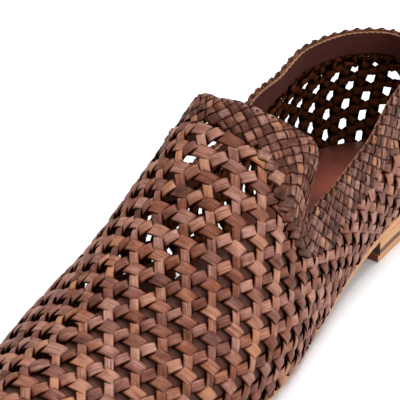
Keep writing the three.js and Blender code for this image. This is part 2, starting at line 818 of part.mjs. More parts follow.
// Rows of the heel from its hollowed breast to the back
function heelRows(margin) {
  const start = [LATERAL, MEDIAL].map((side) => {
    let along = 0.5;
    while (soleEdge(side, along, margin(along)).x > HEEL_BREAST) {
      along += 0.001;
    }
    return along;
  });
  const count = 16;
  const rows = [];
  for (let k = 0; k <= count; k += 1) {
    const share = k / count;
    const edge = (side, from) => {
      const along = from + (1 - from) * share;
      return soleEdge(side, along, margin(along));
    };
    rows.push([edge(MEDIAL, start[1]), edge(LATERAL, start[0])]);
  }
  return rows;
}

// A heel layer whose breast is hollowed
function makeHeelLayer(margin, low, high) {
  const rows = heelRows(margin);
  const shell = new Shell();
  const [medial, lateral] = rows[0];
  const breast = [];
  const parts = 6;
  for (let k = 0; k <= parts; k += 1) {
    const point = medial.clone().lerp(lateral, k / parts);
    point.x -= HEEL_BREAST_HOLLOW * Math.sin(Math.PI * k / parts);
    breast.push(point);
  }
  const loop = [...breast, ...rows.slice(1, -1).map((row) => row[1]), rows[rows.length - 1][1]];
  for (let k = rows.length - 2; k > 0; k -= 1) {
    loop.push(rows[k][0]);
  }
  const faces = THREE.ShapeUtils.triangulateShape(loop, []);
  const at = (point, height) => shell.point(new THREE.Vector3(point.x, point.y, height(point.x)));
  const clockwise = THREE.ShapeUtils.isClockWise(loop);
  for (const [a, b, c] of faces) {
    const turn = clockwise ? [loop[c], loop[b], loop[a]] : [loop[a], loop[b], loop[c]];
    shell.triangle(...turn.map((point) => at(point, high)));
    shell.triangle(...turn.reverse().map((point) => at(point, low)));
  }
  loop.forEach((point, k) => {
    const next = loop[(k + 1) % loop.length];
    const [one, two] = clockwise ? [next, point] : [point, next];
    shell.quad(at(one, low), at(two, low), at(two, high), at(one, high));
  });
  return shell;
}

const SOLE_ROWS = 44;
const INSOLE_ROWS = 34;
const LAYER_GAP = 0.2;

function makeShoe() {
  const shoe = new THREE.Group();
  shoe.name = 'woven_loafer';
  const heelTop = (x) => underside(x) - LAYER_GAP;
  const stackLow = () => TOP_PIECE_THICKNESS + LAYER_GAP;
  const insoleLow = (x) => soleTop(x) + LAYER_GAP;
  const insoleHigh = (x) => soleTop(x) + LAYER_GAP + INSOLE_THICKNESS;
  const stackMargin = (along) => soleMargin(along) - 0.2 * HEEL_TAPER;
  const topPieceMargin = (along) => soleMargin(along) - HEEL_TAPER;
  const outsole = makePlate(crossRows(SOLE_ROWS, 0, 1, soleMargin), underside, soleTop);
  const stack = makeHeelLayer(stackMargin, stackLow, heelTop);
  const topPiece = makeHeelLayer(topPieceMargin, () => 0, () => TOP_PIECE_THICKNESS);
  const insole = makePlate(crossRows(INSOLE_ROWS, 0, 1, () => -INSOLE_INSET), insoleLow, insoleHigh);
  shoe.add(outsole.mesh('outsole', 0xb98a58, 0.7));
  shoe.add(stack.mesh('heel_stack', 0xa9713f, 0.7));
  shoe.add(topPiece.mesh('heel_top_piece', 0xb06a35, 0.75));
  shoe.add(insole.mesh('insole', 0x5a2c1f, 0.6));
  shoe.add(makeUpper().simplified(SMOOTHING).mesh('woven_upper', 0x7d4c38, 0.6));
  shoe.add(makeBand().mesh('collar_band', 0x8a5a44, 0.6));
  const box = new THREE.Box3().setFromObject(shoe);
  const middle = box.getCenter(new THREE.Vector3());
  for (const mesh of shoe.children) {
    mesh.geometry.translate(-middle.x, -middle.y, -box.min.z);
  }
  return shoe;
}

export default makeShoe();
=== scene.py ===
import math

import bpy
import numpy as np
from mathutils import Matrix, Vector


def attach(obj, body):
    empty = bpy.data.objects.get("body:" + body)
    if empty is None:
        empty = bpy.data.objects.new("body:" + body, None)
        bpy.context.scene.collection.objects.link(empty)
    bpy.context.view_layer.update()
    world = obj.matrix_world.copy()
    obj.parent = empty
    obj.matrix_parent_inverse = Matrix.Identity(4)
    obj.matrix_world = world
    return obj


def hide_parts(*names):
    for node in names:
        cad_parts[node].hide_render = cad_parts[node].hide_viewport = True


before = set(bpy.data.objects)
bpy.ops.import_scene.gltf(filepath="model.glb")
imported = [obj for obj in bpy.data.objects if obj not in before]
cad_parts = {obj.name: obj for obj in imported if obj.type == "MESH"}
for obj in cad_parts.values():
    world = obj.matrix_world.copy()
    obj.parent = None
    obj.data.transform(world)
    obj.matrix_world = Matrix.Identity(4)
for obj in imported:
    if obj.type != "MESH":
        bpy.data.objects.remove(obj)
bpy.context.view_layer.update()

# The shoe is shaped in millimetres: x from the heel's back to the toe, y to the wearer's left, z up
# from the floor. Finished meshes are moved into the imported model's frame, in metres.
MM = 0.001
LATERAL = 1
MEDIAL = -1

# Sizes shared with the solids
SHOE_LENGTH = 276
SOLE_THICKNESS = 3.4
TOE_MARGIN = -0.6
RIDGE_BACK = 26
RIDGE_FRONT = 34
ROUNDNESS = 2.15
BULGE_ENDS = 2.5
BULGE_SIDES = {LATERAL: 2, MEDIAL: 3}
BULGE_HEIGHT = 36

# How far the medial wall stands out past the plain section, most at half its height: along, fullness
MEDIAL_FULLNESS = [(0, 0), (0.5, 0.4), (0.56, 2.3), (0.62, 2.3), (0.68, 3), (0.76, 0), (1, 0)]

# The feather line, where the upper meets the sole: along, lateral, medial
FEATHER = [
    (276, -4, -4),
    (271, 9, -17.5),
    (257, 21, -27.5),
    (232, 33.7, -36.8),
    (201, 43, -41),
    (170, 44.6, -37.2),
    (133, 38.7, -26.7),
    (96, 33.1, -24.5),
    (60, 30.8, -27.5),
    (28, 28.5, -28),
    (9, 19, -18.5),
    (0, 0, 0),
]
FEATHER_COLUMN = {LATERAL: 1, MEDIAL: 2}

# The side view: along, the sole's underside, the ridge over the instep, the ridge's sideways place
PROFILE = [
    (0, 10.7, 108, 0),
    (40, 10.4, 110, 0),
    (72, 9.8, 108, -1),
    (100, 6.3, 101.5, -2),
    (130, 2, 90, -3),
    (150, 0.5, 77, -4),
    (172, 0, 61, -4.5),
    (200, 0, 45.5, -5),
    (230, 1.8, 35.5, -5),
    (255, 4.5, 30.5, -4.5),
    (276, 8, 27, -4),
]
UNDERSIDE, RIDGE, ASIDE = 1, 2, 3

# The plaited band from the tongue's middle to the heel's back: the top line's place on the last
# (along, up), then the place of the band's border on the weave (along, up)
BAND = [
    (0.537, 1, 0.508, 1),
    (0.543, 0.905, 0.513, 0.862),
    (0.556, 0.732, 0.522, 0.71),
    (0.576, 0.579, 0.524, 0.6),
    (0.59, 0.5, 0.522, 0.52),
    (0.591, 0.44, 0.521, 0.455),
    (0.573, 0.409, 0.52, 0.4),
    (0.553, 0.385, 0.52, 0.345),
    (0.545, 0.352, 0.525, 0.285),
    (0.556, 0.334, 0.54, 0.232),
    (0.578, 0.322, 0.566, 0.197),
    (0.605, 0.3, 0.6, 0.18),
    (0.645, 0.287, 0.645, 0.175),
    (0.692, 0.291, 0.692, 0.18),
    (0.744, 0.341, 0.744, 0.21),
    (0.8, 0.37, 0.8, 0.232),
    (0.9, 0.385, 0.9, 0.247),
    (1, 0.388, 1, 0.25),
]

# How much higher the top line runs behind the notch at the medial side: along, rise
MEDIAL_RISE = [(0.58, 0), (0.645, 0.012), (0.692, 0.034), (0.744, -0.011), (0.8, 0)]

# How high on the last the woven half is laid flat: along, up
FLAT_REACH = [(0, 1), (0.56, 1), (0.6, 0.68), (0.64, 0.45), (0.7, 0.42), (1, 0.45)]

# The weave
HOLE_SPACING = 9.5
COLUMN = HOLE_SPACING * math.cos(math.pi / 6)
PATTERN_START = np.array([189.1, 0.0])
PATTERN_ASIDE = -2.4
ASIDE_FROM = 40
ASIDE_TO = 130
STRIP_THICKNESS = 1.2
STRIP_MIDDLE = -0.35
STRIP_SWING = 0.75
STRIP_STEP = HOLE_SPACING / 10
TUCK_LENGTH = 3.0
TUCK_DEPTH = 0.9
FEATHER_GAP = 0.2
UV_PER_MM = 0.1
UV_SHIFT = 31.7
OFF_PATTERN = -9
TINY = 1e-6

# Shares: how light the flesh side stays under painted shade, as it faces the dark inside, and how golden
# it is;
# how far a fold's inner face counts as outer and as raised, which sets its gold and its painted shade
FLESH_PAINTED_SHADE = 0.28
FLESH_GOLD = 0.55
FOLD_INSIDE = 0.65
FOLD_LEVEL = 0.55

# The plait
BAND_SQUARE = 5.3
BAND_ROWS = 4
PLAIT_THICKNESS = 1.0
PLAIT_MIDDLE = 0.35
PLAIT_SWING = 0.45

# A flat strip's section, as shares of its half width and of its thickness
STRIP_SECTION = np.array([
    (-1, 0), (-0.9, 0.34), (-0.72, 0.46), (0, 0.5), (0.72, 0.46), (0.9, 0.34),
    (1, 0), (0.9, -0.36), (0, -0.42), (-0.9, -0.36),
])

chance = np.random.RandomState(7)


# The last

def smooth_value(rows, column, along):
    """A smooth value from a table sorted by its first column."""
    table = np.array(rows, float)
    xs, ys = table[:, 0], table[:, column]
    slopes = np.gradient(ys, xs)
    x = np.clip(along, xs[0], xs[-1])
    i = np.clip(np.searchsorted(xs, x) - 1, 0, len(xs) - 2)
    step = xs[i + 1] - xs[i]
    t = (x - xs[i]) / step
    left = (1 + 2 * t) * (1 - t) ** 2 * ys[i] + t * (1 - t) ** 2 * step * slopes[i]
    return left + t * t * (3 - 2 * t) * ys[i + 1] + t * t * (t - 1) * step * slopes[i + 1]


def sole_top(x):
    return np.maximum(smooth_value(PROFILE, UNDERSIDE, x), 0) + SOLE_THICKNESS


def feather_line(side, along):
    """Points of the feather line at 'along' from 0, the toe tip, to 1, the heel's back."""
    table = np.array(FEATHER, float)
    own = table[:, [0, FEATHER_COLUMN[side]]]
    other = table[:, [0, FEATHER_COLUMN[-side]]]
    points = np.vstack([other[1], own, other[-2]])
    last = len(own) - 1
    place = np.clip(along, 0, 1) * last
    i = np.minimum(place.astype(int), last - 1)
    t = (place - i)[:, None]
    legs = [points[i + k + 1] - points[i + k] for k in range(3)]
    spans = [np.linalg.norm(leg, axis=1, keepdims=True) for leg in legs]

    def tangent(k):
        a, b = spans[k], spans[k + 1]
        return (legs[k] * b / a + legs[k + 1] * a / b) * spans[1] / (a + b)

    line = (1 + 2 * t) * (1 - t) ** 2 * points[i + 1] + t * (1 - t) ** 2 * tangent(0)
    return line + t * t * (3 - 2 * t) * points[i + 2] + t * t * (t - 1) * tangent(1)


def ridge_place(x):
    """How far along the shoe the ridge lies over a place of the feather line."""
    return RIDGE_BACK + (SHOE_LENGTH - RIDGE_FRONT - RIDGE_BACK) * x / SHOE_LENGTH


def last_point(side, along, up):
    """Points of the last's surface, 'up' from 0 at the feather line to 1 at the ridge."""
    edge = feather_line(side, along)
    ridge_x = ridge_place(edge[:, 0])
    ridge = np.stack([ridge_x, smooth_value(PROFILE, ASIDE, ridge_x)], 1)
    angle = np.clip(up, 0, 1) * math.pi / 2
    inward = 1 - np.maximum(np.cos(angle), 0) ** (2 / ROUNDNESS)
    upward = np.maximum(np.sin(angle), 0) ** (2 / ROUNDNESS)
    flat = edge + (ridge - edge) * inward[:, None]
    low = sole_top(edge[:, 0])
    rise = (smooth_value(PROFILE, RIDGE, flat[:, 0]) - low) * upward
    outward = edge - ridge
    outward /= np.linalg.norm(outward, axis=1, keepdims=True)
    swell = BULGE_ENDS + (BULGE_SIDES[side] - BULGE_ENDS) * np.sin(math.pi * np.clip(along, 0, 1))
    swell = swell * np.sin(math.pi * np.clip(rise / BULGE_HEIGHT, 0, 1))
    if side == MEDIAL:
        swell = swell + smooth_value(MEDIAL_FULLNESS, 1, along) * np.sin(2 * angle)
    flat = flat + outward * swell[:, None]
    return np.column_stack([flat, low + rise])


def wall_points(side, along, up, distance):
    """Points at a distance from the last's surface, sides mixed."""
    step = 0.004  # of the way along or up, for the slopes that give the normal
    result = np.zeros((len(along), 3))
    for one in (LATERAL, MEDIAL):
        mine = side == one
        if not mine.any():
            continue
        s = np.clip(along[mine], 2 * step, 1 - step)
        a = np.clip(up[mine], 2 * step, 1 - 2 * step)
        along_way = last_point(one, s + step, a) - last_point(one, s - step, a)
        up_way = last_point(one, s, a + step) - last_point(one, s, a - step)
        normal = np.cross(along_way, up_way) * one
        normal /= np.linalg.norm(normal, axis=1, keepdims=True)
        result[mine] = last_point(one, along[mine], up[mine]) + normal * distance[mine, None]
    return result


# The half pattern laid flat, one pattern for both sides

FLAT_COLUMNS = 44
FLAT_ROWS = 12
FLAT_ROUNDS = 4000
FLAT_EASE = 0.45
FLAT_MARGIN = 0.3
FLAT_STRETCH = 1.2
NO_AREA = 1e-9
POINTS_AT_ONCE = 4000

# Above the one and in front of the other, the pattern lies on the shoe's centre line
CENTRE_UP = 0.999
CENTRE_ALONG = 0.57


def length_to_ridge(along, up):
    """The way over the surface from places up to the ridge."""
    steps = 24
    length = np.zeros(len(along))
    before = last_point(LATERAL, along, up)
    for k in range(1, steps + 1):
        following = last_point(LATERAL, along, up + (1 - up) * k / steps)
        length += np.linalg.norm(following - before, axis=1)
        before = following
    return length


def flatten_pattern():
    """Grid places on the last and their points on the flat pattern."""
    i, j = np.meshgrid(np.arange(FLAT_COLUMNS + 1), np.arange(FLAT_ROWS + 1), indexing="ij")
    along = (i / FLAT_COLUMNS).ravel()
    reach = np.interp(along, *np.array(FLAT_REACH).T)
    up = reach * (j / FLAT_ROWS).ravel()
    edge = feather_line(LATERAL, along)
    ridge_x = ridge_place(edge[:, 0])
    heading = np.arctan2(edge[:, 1] - smooth_value(PROFILE, ASIDE, ridge_x), edge[:, 0] - ridge_x)
    below = length_to_ridge(along, up)
    flat = np.stack([ridge_x * FLAT_STRETCH + below * np.cos(heading), below * np.sin(heading)], 1)
    node = i * (FLAT_ROWS + 1) + j
    pairs = [
        (node[:-1], node[1:]),
        (node[:, :-1], node[:, 1:]),
        (node[:-1, :-1], node[1:, 1:]),
        (node[1:, :-1], node[:-1, 1:]),
    ]
    a = np.concatenate([pair[0].ravel() for pair in pairs])
    b = np.concatenate([pair[1].ravel() for pair in pairs])
    rest = 0
    for side in (LATERAL, MEDIAL):
        solid = last_point(side, along, up)
        rest = rest + np.linalg.norm(solid[a] - solid[b], axis=1) / 2
    on_centre = (along == 0) | ((up > CENTRE_UP) & (along < CENTRE_ALONG))
    for _ in range(FLAT_ROUNDS):
        way = flat[b] - flat[a]
        length = np.maximum(np.linalg.norm(way, axis=1), TINY)
        way *= (FLAT_EASE * 0.5 * (length - rest) / length)[:, None]
        for axis in (0, 1):
            pull = np.bincount(a, way[:, axis], len(flat)) - np.bincount(b, way[:, axis], len(flat))
            flat[:, axis] += 0.5 * pull
        flat[:, 1] = np.where(on_centre, 0, np.maximum(flat[:, 1], 0))
    shape = (FLAT_COLUMNS + 1, FLAT_ROWS + 1, 2)
    return np.stack([along, up], 1).reshape(shape), flat.reshape(shape)


def grid_triangles(grid):
    """Two triangles for each square of a grid of points."""
    around = (grid[:-1, :-1], grid[1:, :-1], grid[1:, 1:], grid[:-1, 1:])
    a, b, c, d = (corner.reshape(-1, 2) for corner in around)
    return np.concatenate([np.stack([a, b, c], 1), np.stack([a, c, d], 1)])


def pattern_triangles():
    """The flat pattern's triangles with a margin past the feather line and past the back seam."""
    places, flat = flatten_pattern()
    share = FLAT_MARGIN / places[:, 1, 1]
    low_flat = flat[:, 0] - (flat[:, 1] - flat[:, 0]) * share[:, None]
    low_place = np.stack([places[:, 0, 0], np.full(len(places), -FLAT_MARGIN)], 1)
    places = np.concatenate([low_place[:, None], places], 1)
    flat = np.concatenate([low_flat[:, None], flat], 1)
    past_place = places[-1].copy()
    past_place[:, 0] = 2 - places[-3][:, 0]
    past_flat = 2 * flat[-1] - flat[-3]
    places = np.concatenate([places, past_place[None]])
    flat = np.concatenate([flat, past_flat[None]])
    return grid_triangles(flat), grid_triangles(places)


FLAT_TRIANGLES, PLACE_TRIANGLES = pattern_triangles()


def change_triangles(points, source, target):
    """Carries points from one triangle layout to the other; nan where they lie off it."""
    sides = source[:, 1:] - source[:, :1]
    area = sides[:, 0, 0] * sides[:, 1, 1] - sides[:, 1, 0] * sides[:, 0, 1]
    real = np.abs(area) > NO_AREA
    source, target, area = source[real], target[real], area[real]
    a, ab, ac = source[:, 0], sides[real, 0], sides[real, 1]
    result = np.full((len(points), 2), np.nan)
    for start in range(0, len(points), POINTS_AT_ONCE):
        part = slice(start, start + POINTS_AT_ONCE)
        from_a = points[part, None, :] - a[None]
        wb = (from_a[..., 0] * ac[:, 1] - ac[:, 0] * from_a[..., 1]) / area
        wc = (ab[:, 0] * from_a[..., 1] - from_a[..., 0] * ab[:, 1]) / area
        worst = np.minimum(np.minimum(wb, wc), 1 - wb - wc)
        best = np.argmax(worst, axis=1)
        row = np.arange(len(best))
        weight_b, weight_c = wb[row, best][:, None], wc[row, best][:, None]
        found = target[best]
        moved = (1 - weight_b - weight_c) * found[:, 0] + weight_b * found[:, 1] + weight_c * found[:, 2]
        moved[worst[row, best] < -TINY] = np.nan
        result[part] = moved
    return result


# The band on the last

BAND_FINE = 601
BAND_MEASURED = 0.4
BORDER_FINE = 121
BORDER_PAST_CENTRE = -40
BORDER_PAST_HEEL = 20


def band_value(column, place):
    """A smooth column of the band's table, from 0 at the tongue to 1 at the heel."""
    values = np.array(BAND)[:, column]
    last = len(values) - 1
    t = np.clip(place, 0, 1) * last
    i = np.minimum(t.astype(int), last - 1)
    f = t - i

    def at(k):
        return values[np.clip(k, 0, last)]

    start = (at(i + 1) - at(i - 1)) / 2
    end = (at(i + 2) - at(i)) / 2
    left = (1 + 2 * f) * (1 - f) ** 2 * at(i) + f * (1 - f) ** 2 * start
    return left + f * f * (3 - 2 * f) * at(i + 1) + f * f * (f - 1) * end


def band_place(side, place, across):
    """A place on the last between the top line, 0, and the band's border, 1."""
    along, up = band_value(0, place), band_value(1, place)
    up = up + np.where(side == MEDIAL, smooth_value(MEDIAL_RISE, 1, along), 0)
    return along + (band_value(2, place) - along) * across, up + (band_value(3, place) - up) * across


def band_columns():
    """Places along the band whose squares are evenly long, measured near its middle."""
    fine = np.linspace(0, 1, BAND_FINE)
    line = last_point(LATERAL, *band_place(LATERAL, fine, np.full(BAND_FINE, BAND_MEASURED)))
    lengths = np.concatenate([[0], np.cumsum(np.linalg.norm(np.diff(line, axis=0), axis=1))])
    count = round(lengths[-1] / BAND_SQUARE)
    return np.interp(np.linspace(0, lengths[-1], count + 1), lengths, fine)


BAND_COLUMNS = band_columns()
HALF_RING = len(BAND_COLUMNS) - 1
FULL_RING = 2 * HALF_RING


def band_points(column, row, distance):
    """Points of the band: columns run once round the collar, rows from the top line to the border."""
    turn = np.mod(column, FULL_RING)
    side = np.where(turn <= HALF_RING, LATERAL, MEDIAL)
    folded = np.where(turn <= HALF_RING, turn, FULL_RING - turn)
    place = np.interp(folded, np.arange(HALF_RING + 1), BAND_COLUMNS)
    along, up = band_place(side, place, row / BAND_ROWS)
    return wall_points(side, along, up, distance)


def border_line():
    """The band's border on the flat pattern, with its ends drawn out."""
    place = np.linspace(0, 1, BORDER_FINE)
    along, up = band_place(LATERAL, place, np.ones(BORDER_FINE))
    line = change_triangles(np.stack([along, np.minimum(up, 1)], 1), PLACE_TRIANGLES, FLAT_TRIANGLES)
    start = np.array([[line[0, 0], BORDER_PAST_CENTRE]])
    end = line[-1:] + (line[-1:] - line[-3:-2]) * BORDER_PAST_HEEL
    return np.concatenate([start, line, end])


BORDER = border_line()


def border_clearance(points):
    """How far flat points lie on the weave's side of the band's border."""
    a, way = BORDER[:-1], np.diff(BORDER, axis=0)
    start = points[:, None, :] - a[None]
    t = np.clip((start * way).sum(-1) / (way * way).sum(-1), 0, 1)
    distance = np.linalg.norm(start - t[..., None] * way, axis=-1)
    nearest = np.argmin(distance, axis=1)
    row = np.arange(len(points))
    turn = way[nearest, 0] * start[row, nearest, 1] - way[nearest, 1] * start[row, nearest, 0]
    return -np.sign(turn) * distance[row, nearest]


# Meshes from arrays

toe = max(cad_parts["outsole"].data.vertices, key=lambda vertex: vertex.co.x).co
FRAME_SHIFT = np.array([toe.x / MM - SHOE_LENGTH - TOE_MARGIN, toe.y / MM - FEATHER[0][1], 0])


def into_frame(points):
    return (points + FRAME_SHIFT) * MM


def finish_piece(piece, material, slot, *nodes):
    """Gives a piece its material and its body, and hides the solids that it stands for. The slot is not
    used.
    """
    piece.data.materials.append(material)
    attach(piece, "root")
    if nodes:
        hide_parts(*nodes)


class Strips:
    """Closed strips collected into one mesh. Each ring of points has its way along and across in
    millimetres and four facts of its leaf: tint, level, outer face, nearness to the edge."""

    def __init__(self):
        self.points = []
        self.faces = []
        self.ways = []
        self.leaves = []
        self.count = 0

    def add(self, rings, ways, leaves):
        sections, around = rings.shape[:2]
        ids = self.count + np.arange(sections * around).reshape(sections, around)
        here, there = ids[:-1], ids[1:]
        quads = np.stack([here, there, np.roll(there, -1, 1), np.roll(here, -1, 1)], -1)
        self.faces.extend(quads.reshape(-1, 4).tolist())
        self.faces.append(ids[0].tolist())
        self.faces.append(ids[-1][::-1].tolist())
        self.points.append(rings.reshape(-1, 3))
        self.ways.append(ways.reshape(-1, 2))
        self.leaves.append(leaves.reshape(-1, 4))
        self.count += sections * around

    def piece(self, name):
        mesh = bpy.data.meshes.new(name)
        mesh.from_pydata(into_frame(np.concatenate(self.points)).tolist(), [], self.faces)
        ways = np.concatenate(self.ways)
        corner = np.zeros(len(mesh.loops), int)
        mesh.loops.foreach_get("vertex_index", corner)
        strip_map = mesh.uv_layers.new(name="strip")
        strip_map.data.foreach_set("uv", (ways[corner] * UV_PER_MM).ravel())
        # Leaf facts per point: a tint, and the level, outer face and edge nearness that set the painted
        # shade
        leaf = mesh.attributes.new("leaf", "FLOAT_COLOR", "POINT")
        leaf.data.foreach_set("color", np.concatenate(self.leaves).ravel())
        mesh.polygons.foreach_set("use_smooth", np.ones(len(mesh.polygons), bool))
        mesh.update()
        piece = bpy.data.objects.new(name, mesh)
        bpy.context.scene.collection.objects.link(piece)
        return piece


def leaf_facts(shape, tint, height, folded=0.0):
    """The four facts of a leaf for every point of its rings. Its level is 1 where that face lies
    uppermost, and a folded strip shows on both sides. Level, outer face and nearness to the edge set
    how much shade is painted into the strip leather's colour."""
    top = (STRIP_SECTION[:, 1] > 0).astype(float)
    level = np.maximum(np.abs(1 - top - height), FOLD_LEVEL * folded)
    outer = np.maximum(top, FOLD_INSIDE * folded)
    edge = np.abs(STRIP_SECTION[:, 0])
    return np.stack([np.broadcast_to(part, shape) for part in (tint, level, outer, edge)], -1)


# Materials

MATH = "ShaderNodeMath"
RANGE = "ShaderNodeMapRange"
MIX = "ShaderNodeMix"
NOISE = "ShaderNodeTexNoise"
MAPPING = "ShaderNodeMapping"
RAMP = "ShaderNodeValToRGB"
LEATHER_IOR = 1.5
# Colours that the painted shade turns to, from deepest to none: it grows redder as it deepens
PAINTED_SHADE_COLOURS = [(0, "#100401"), (0.35, "#a88c7e"), (1, "#ffffff")]
OILED_SHEEN = "#d6b3a2"
FOREPART_SHADE_COLOUR = "#160906"
BREAST_SHADE_COLOUR = "#7f5743"
DARK_LIFT_COLOUR = "#7d5d55"


def hex_colour(code):
    """A colour from its sRGB code."""
    values = [int(code[k:k + 2], 16) / 255 for k in (1, 3, 5)]
    return [v / 12.92 if v <= 0.04045 else ((v + 0.055) / 1.055) ** 2.4 for v in values] + [1]


def add_node(tree, kind, settings=None, links=None):
    """A node with its settings, by attribute, by input or as a ramp's stops, and its links, each from
    a socket or from a node's first output."""
    node = tree.nodes.new(kind)
    for key, value in (settings or {}).items():
        if key == "stops":
            elements = node.color_ramp.elements
            while len(elements) < len(value):
                elements.new(0.5)
            for element, (place, code) in zip(elements, value):
                element.position = place
                element.color = hex_colour(code)
        elif isinstance(key, str) and hasattr(node, key):
            setattr(node, key, value)
        else:
            node.inputs[key].default_value = value
    for key, source in (links or {}).items():
        socket = source.outputs[0] if isinstance(source, bpy.types.Node) else source
        tree.links.new(socket, node.inputs[key])
    return node


def new_material(name):
    material = bpy.data.materials.new(name)
    material.use_nodes = True
    tree = material.node_tree
    tree.nodes.clear()
    shader = add_node(tree, "ShaderNodeBsdfPrincipled", {"IOR": LEATHER_IOR})
    add_node(tree, "ShaderNodeOutputMaterial", links={"Surface": shader})
    return material, tree, shader


def strip_leather(name, dark, mid, light, gold):
    """Vegetable-tanned leather, dyed in the hide, cut in strips and oiled. Each leaf has its own depth
    of dye, clouded and drawn out by fibres, with a few split creases. Single leaves are rubbed golden.
    Shade is painted dark into the gaps, along the strips' edges and in the creases, and the flesh side
    is gold under painted shade."""
    material, tree, shader = new_material(name)

    # Sizes along and across the strip in millimetres, with fibres drawn coarser than real, to show
    fibre_size = (14.0, 0.4)
    cloud_size = (6.0, 3.0)

    # What each gives to the tone, and a factor that makes a leaf's warmth out of its tint
    by_leaf = 0.3
    by_cloud = 0.43
    by_fibre = 0.42
    shuffle = 13.0
    way = add_node(tree, "ShaderNodeUVMap", {"uv_map": "strip"})
    noises = []
    for size, detail, waver in ((fibre_size, 4, 0.5), (cloud_size, 2, 0)):
        scale = [1 / (UV_PER_MM * length) for length in size] + [1]
        drawn = add_node(tree, MAPPING, {"Scale": scale}, {"Vector": way})
        settings = {
            "noise_dimensions": "2D",
            "Scale": 1,
            "Detail": detail,
            "Roughness": 0.6,
            "Distortion": waver,
        }
        noises.append(add_node(tree, NOISE, settings, {"Vector": drawn}))
    fibre, cloud = noises
    leaf = add_node(tree, "ShaderNodeAttribute", {"attribute_name": "leaf"})
    facts = add_node(tree, "ShaderNodeSeparateColor", links={"Color": leaf})
    tint, level, outer = (facts.outputs[k] for k in ("Red", "Green", "Blue"))

    # Brown, deeper or paler by leaf, by cloud and by fibre, and a little warmer or greyer by leaf
    tone = add_node(tree, MATH, {"operation": "MULTIPLY", 1: by_leaf}, {0: tint})
    tone = add_node(tree, MATH, {"operation": "MULTIPLY_ADD", 1: by_cloud}, {0: cloud, 2: tone})
    tone = add_node(tree, MATH, {"operation": "MULTIPLY_ADD", 1: by_fibre}, {0: fibre, 2: tone})
    brown = add_node(tree, RAMP, {"stops": [(0.32, dark), (0.55, mid), (0.82, light)]}, {"Fac": tone})
    shuffled = add_node(tree, MATH, {"operation": "MULTIPLY", 1: shuffle}, {0: tint})
    warmth = add_node(tree, MATH, {"operation": "FRACT"}, {0: shuffled})
    hue = add_node(tree, RANGE, {"To Min": 0.496, "To Max": 0.502}, {"Value": warmth})
    strength = add_node(tree, RANGE, {"To Min": 0.84, "To Max": 1.02}, {"Value": warmth})
    brown = add_node(
        tree, "ShaderNodeHueSaturation", links={"Hue": hue, "Saturation": strength, "Color": brown}
    )

    # Golden where single leaves are rubbed, and on the flesh side, which the dye hardly reached
    chosen = add_node(tree, RANGE, {"From Min": 0.93, "From Max": 0.97}, {"Value": tint})
    settings = {"From Min": 0.35, "From Max": 0.65, "To Min": 0.05, "To Max": 0.6}
    rubbed = add_node(tree, RANGE, settings, {"Value": cloud})
    undyed = add_node(tree, RANGE, {"To Min": FLESH_GOLD, "To Max": 0}, {"Value": outer})
    golden = add_node(tree, MATH, {"operation": "MULTIPLY_ADD"}, {0: chosen, 1: rubbed, 2: undyed})
    brown = add_node(tree, MIX, {"data_type": "RGBA", 7: hex_colour(gold)}, {0: golden, 6: brown})

    # Painted shade, darker and redder: in the gaps where a leaf passes under its neighbour, along the
    # strips' edges, on the flesh side that faces the dark inside, and in split creases
    gap_painted_shade = add_node(tree, RANGE, {"From Min": 0.34, "From Max": 0.74, "To Min": 0.04}, {"Value": level})
    settings = {"From Min": 0.68, "To Min": 1, "To Max": 0.12}
    edge = add_node(tree, RANGE, settings, {"Value": leaf.outputs["Alpha"]})
    # Painted shade on the flesh side, the face turned to the shoe's dark inside
    flesh = add_node(tree, RANGE, {"To Min": FLESH_PAINTED_SHADE}, {"Value": outer})
    line = add_node(tree, RANGE, {"From Min": 0.43, "From Max": 0.34}, {"Value": fibre})
    patch = add_node(tree, RANGE, {"From Min": 0.45, "From Max": 0.62, "To Max": 0.6}, {"Value": cloud})
    crease_painted_shade = add_node(tree, MATH, {"operation": "MULTIPLY"}, {0: line, 1: patch})
    shade = add_node(tree, MATH, {"operation": "SUBTRACT", 0: 1.0}, {1: crease_painted_shade})
    for darker in (gap_painted_shade, edge, flesh):
        shade = add_node(tree, MATH, {"operation": "MULTIPLY"}, {0: shade, 1: darker})
    # The painted shade, redder as it deepens
    painted_shade_tint = add_node(tree, RAMP, {"stops": PAINTED_SHADE_COLOURS}, {"Fac": shade})
    settings = {"data_type": "RGBA", "blend_type": "MULTIPLY", 0: 1.0}
    dyed = add_node(tree, MIX, settings, {6: brown.outputs[2], 7: painted_shade_tint})

    # Satin, rougher along the fibres, and duller where shade is painted dark
    settings = {"From Min": 0.3, "From Max": 0.7, "To Min": 0.42, "To Max": 0.62}
    rough = add_node(tree, RANGE, settings, {"Value": fibre})
    gloss = add_node(tree, RANGE, {"To Max": 0.35}, {"Value": shade})
    bump = add_node(tree, "ShaderNodeBump", {"Strength": 0.5, "Distance": 0.2 * MM}, {"Height": fibre})
    tree.links.new(dyed.outputs[2], shader.inputs["Base Color"])
    tree.links.new(rough.outputs[0], shader.inputs["Roughness"])
    tree.links.new(gloss.outputs[0], shader.inputs["Specular IOR Level"])
    shader.inputs["Specular Tint"].default_value = hex_colour(OILED_SHEEN)
    tree.links.new(bump.outputs[0], shader.inputs["Normal"])
    return material


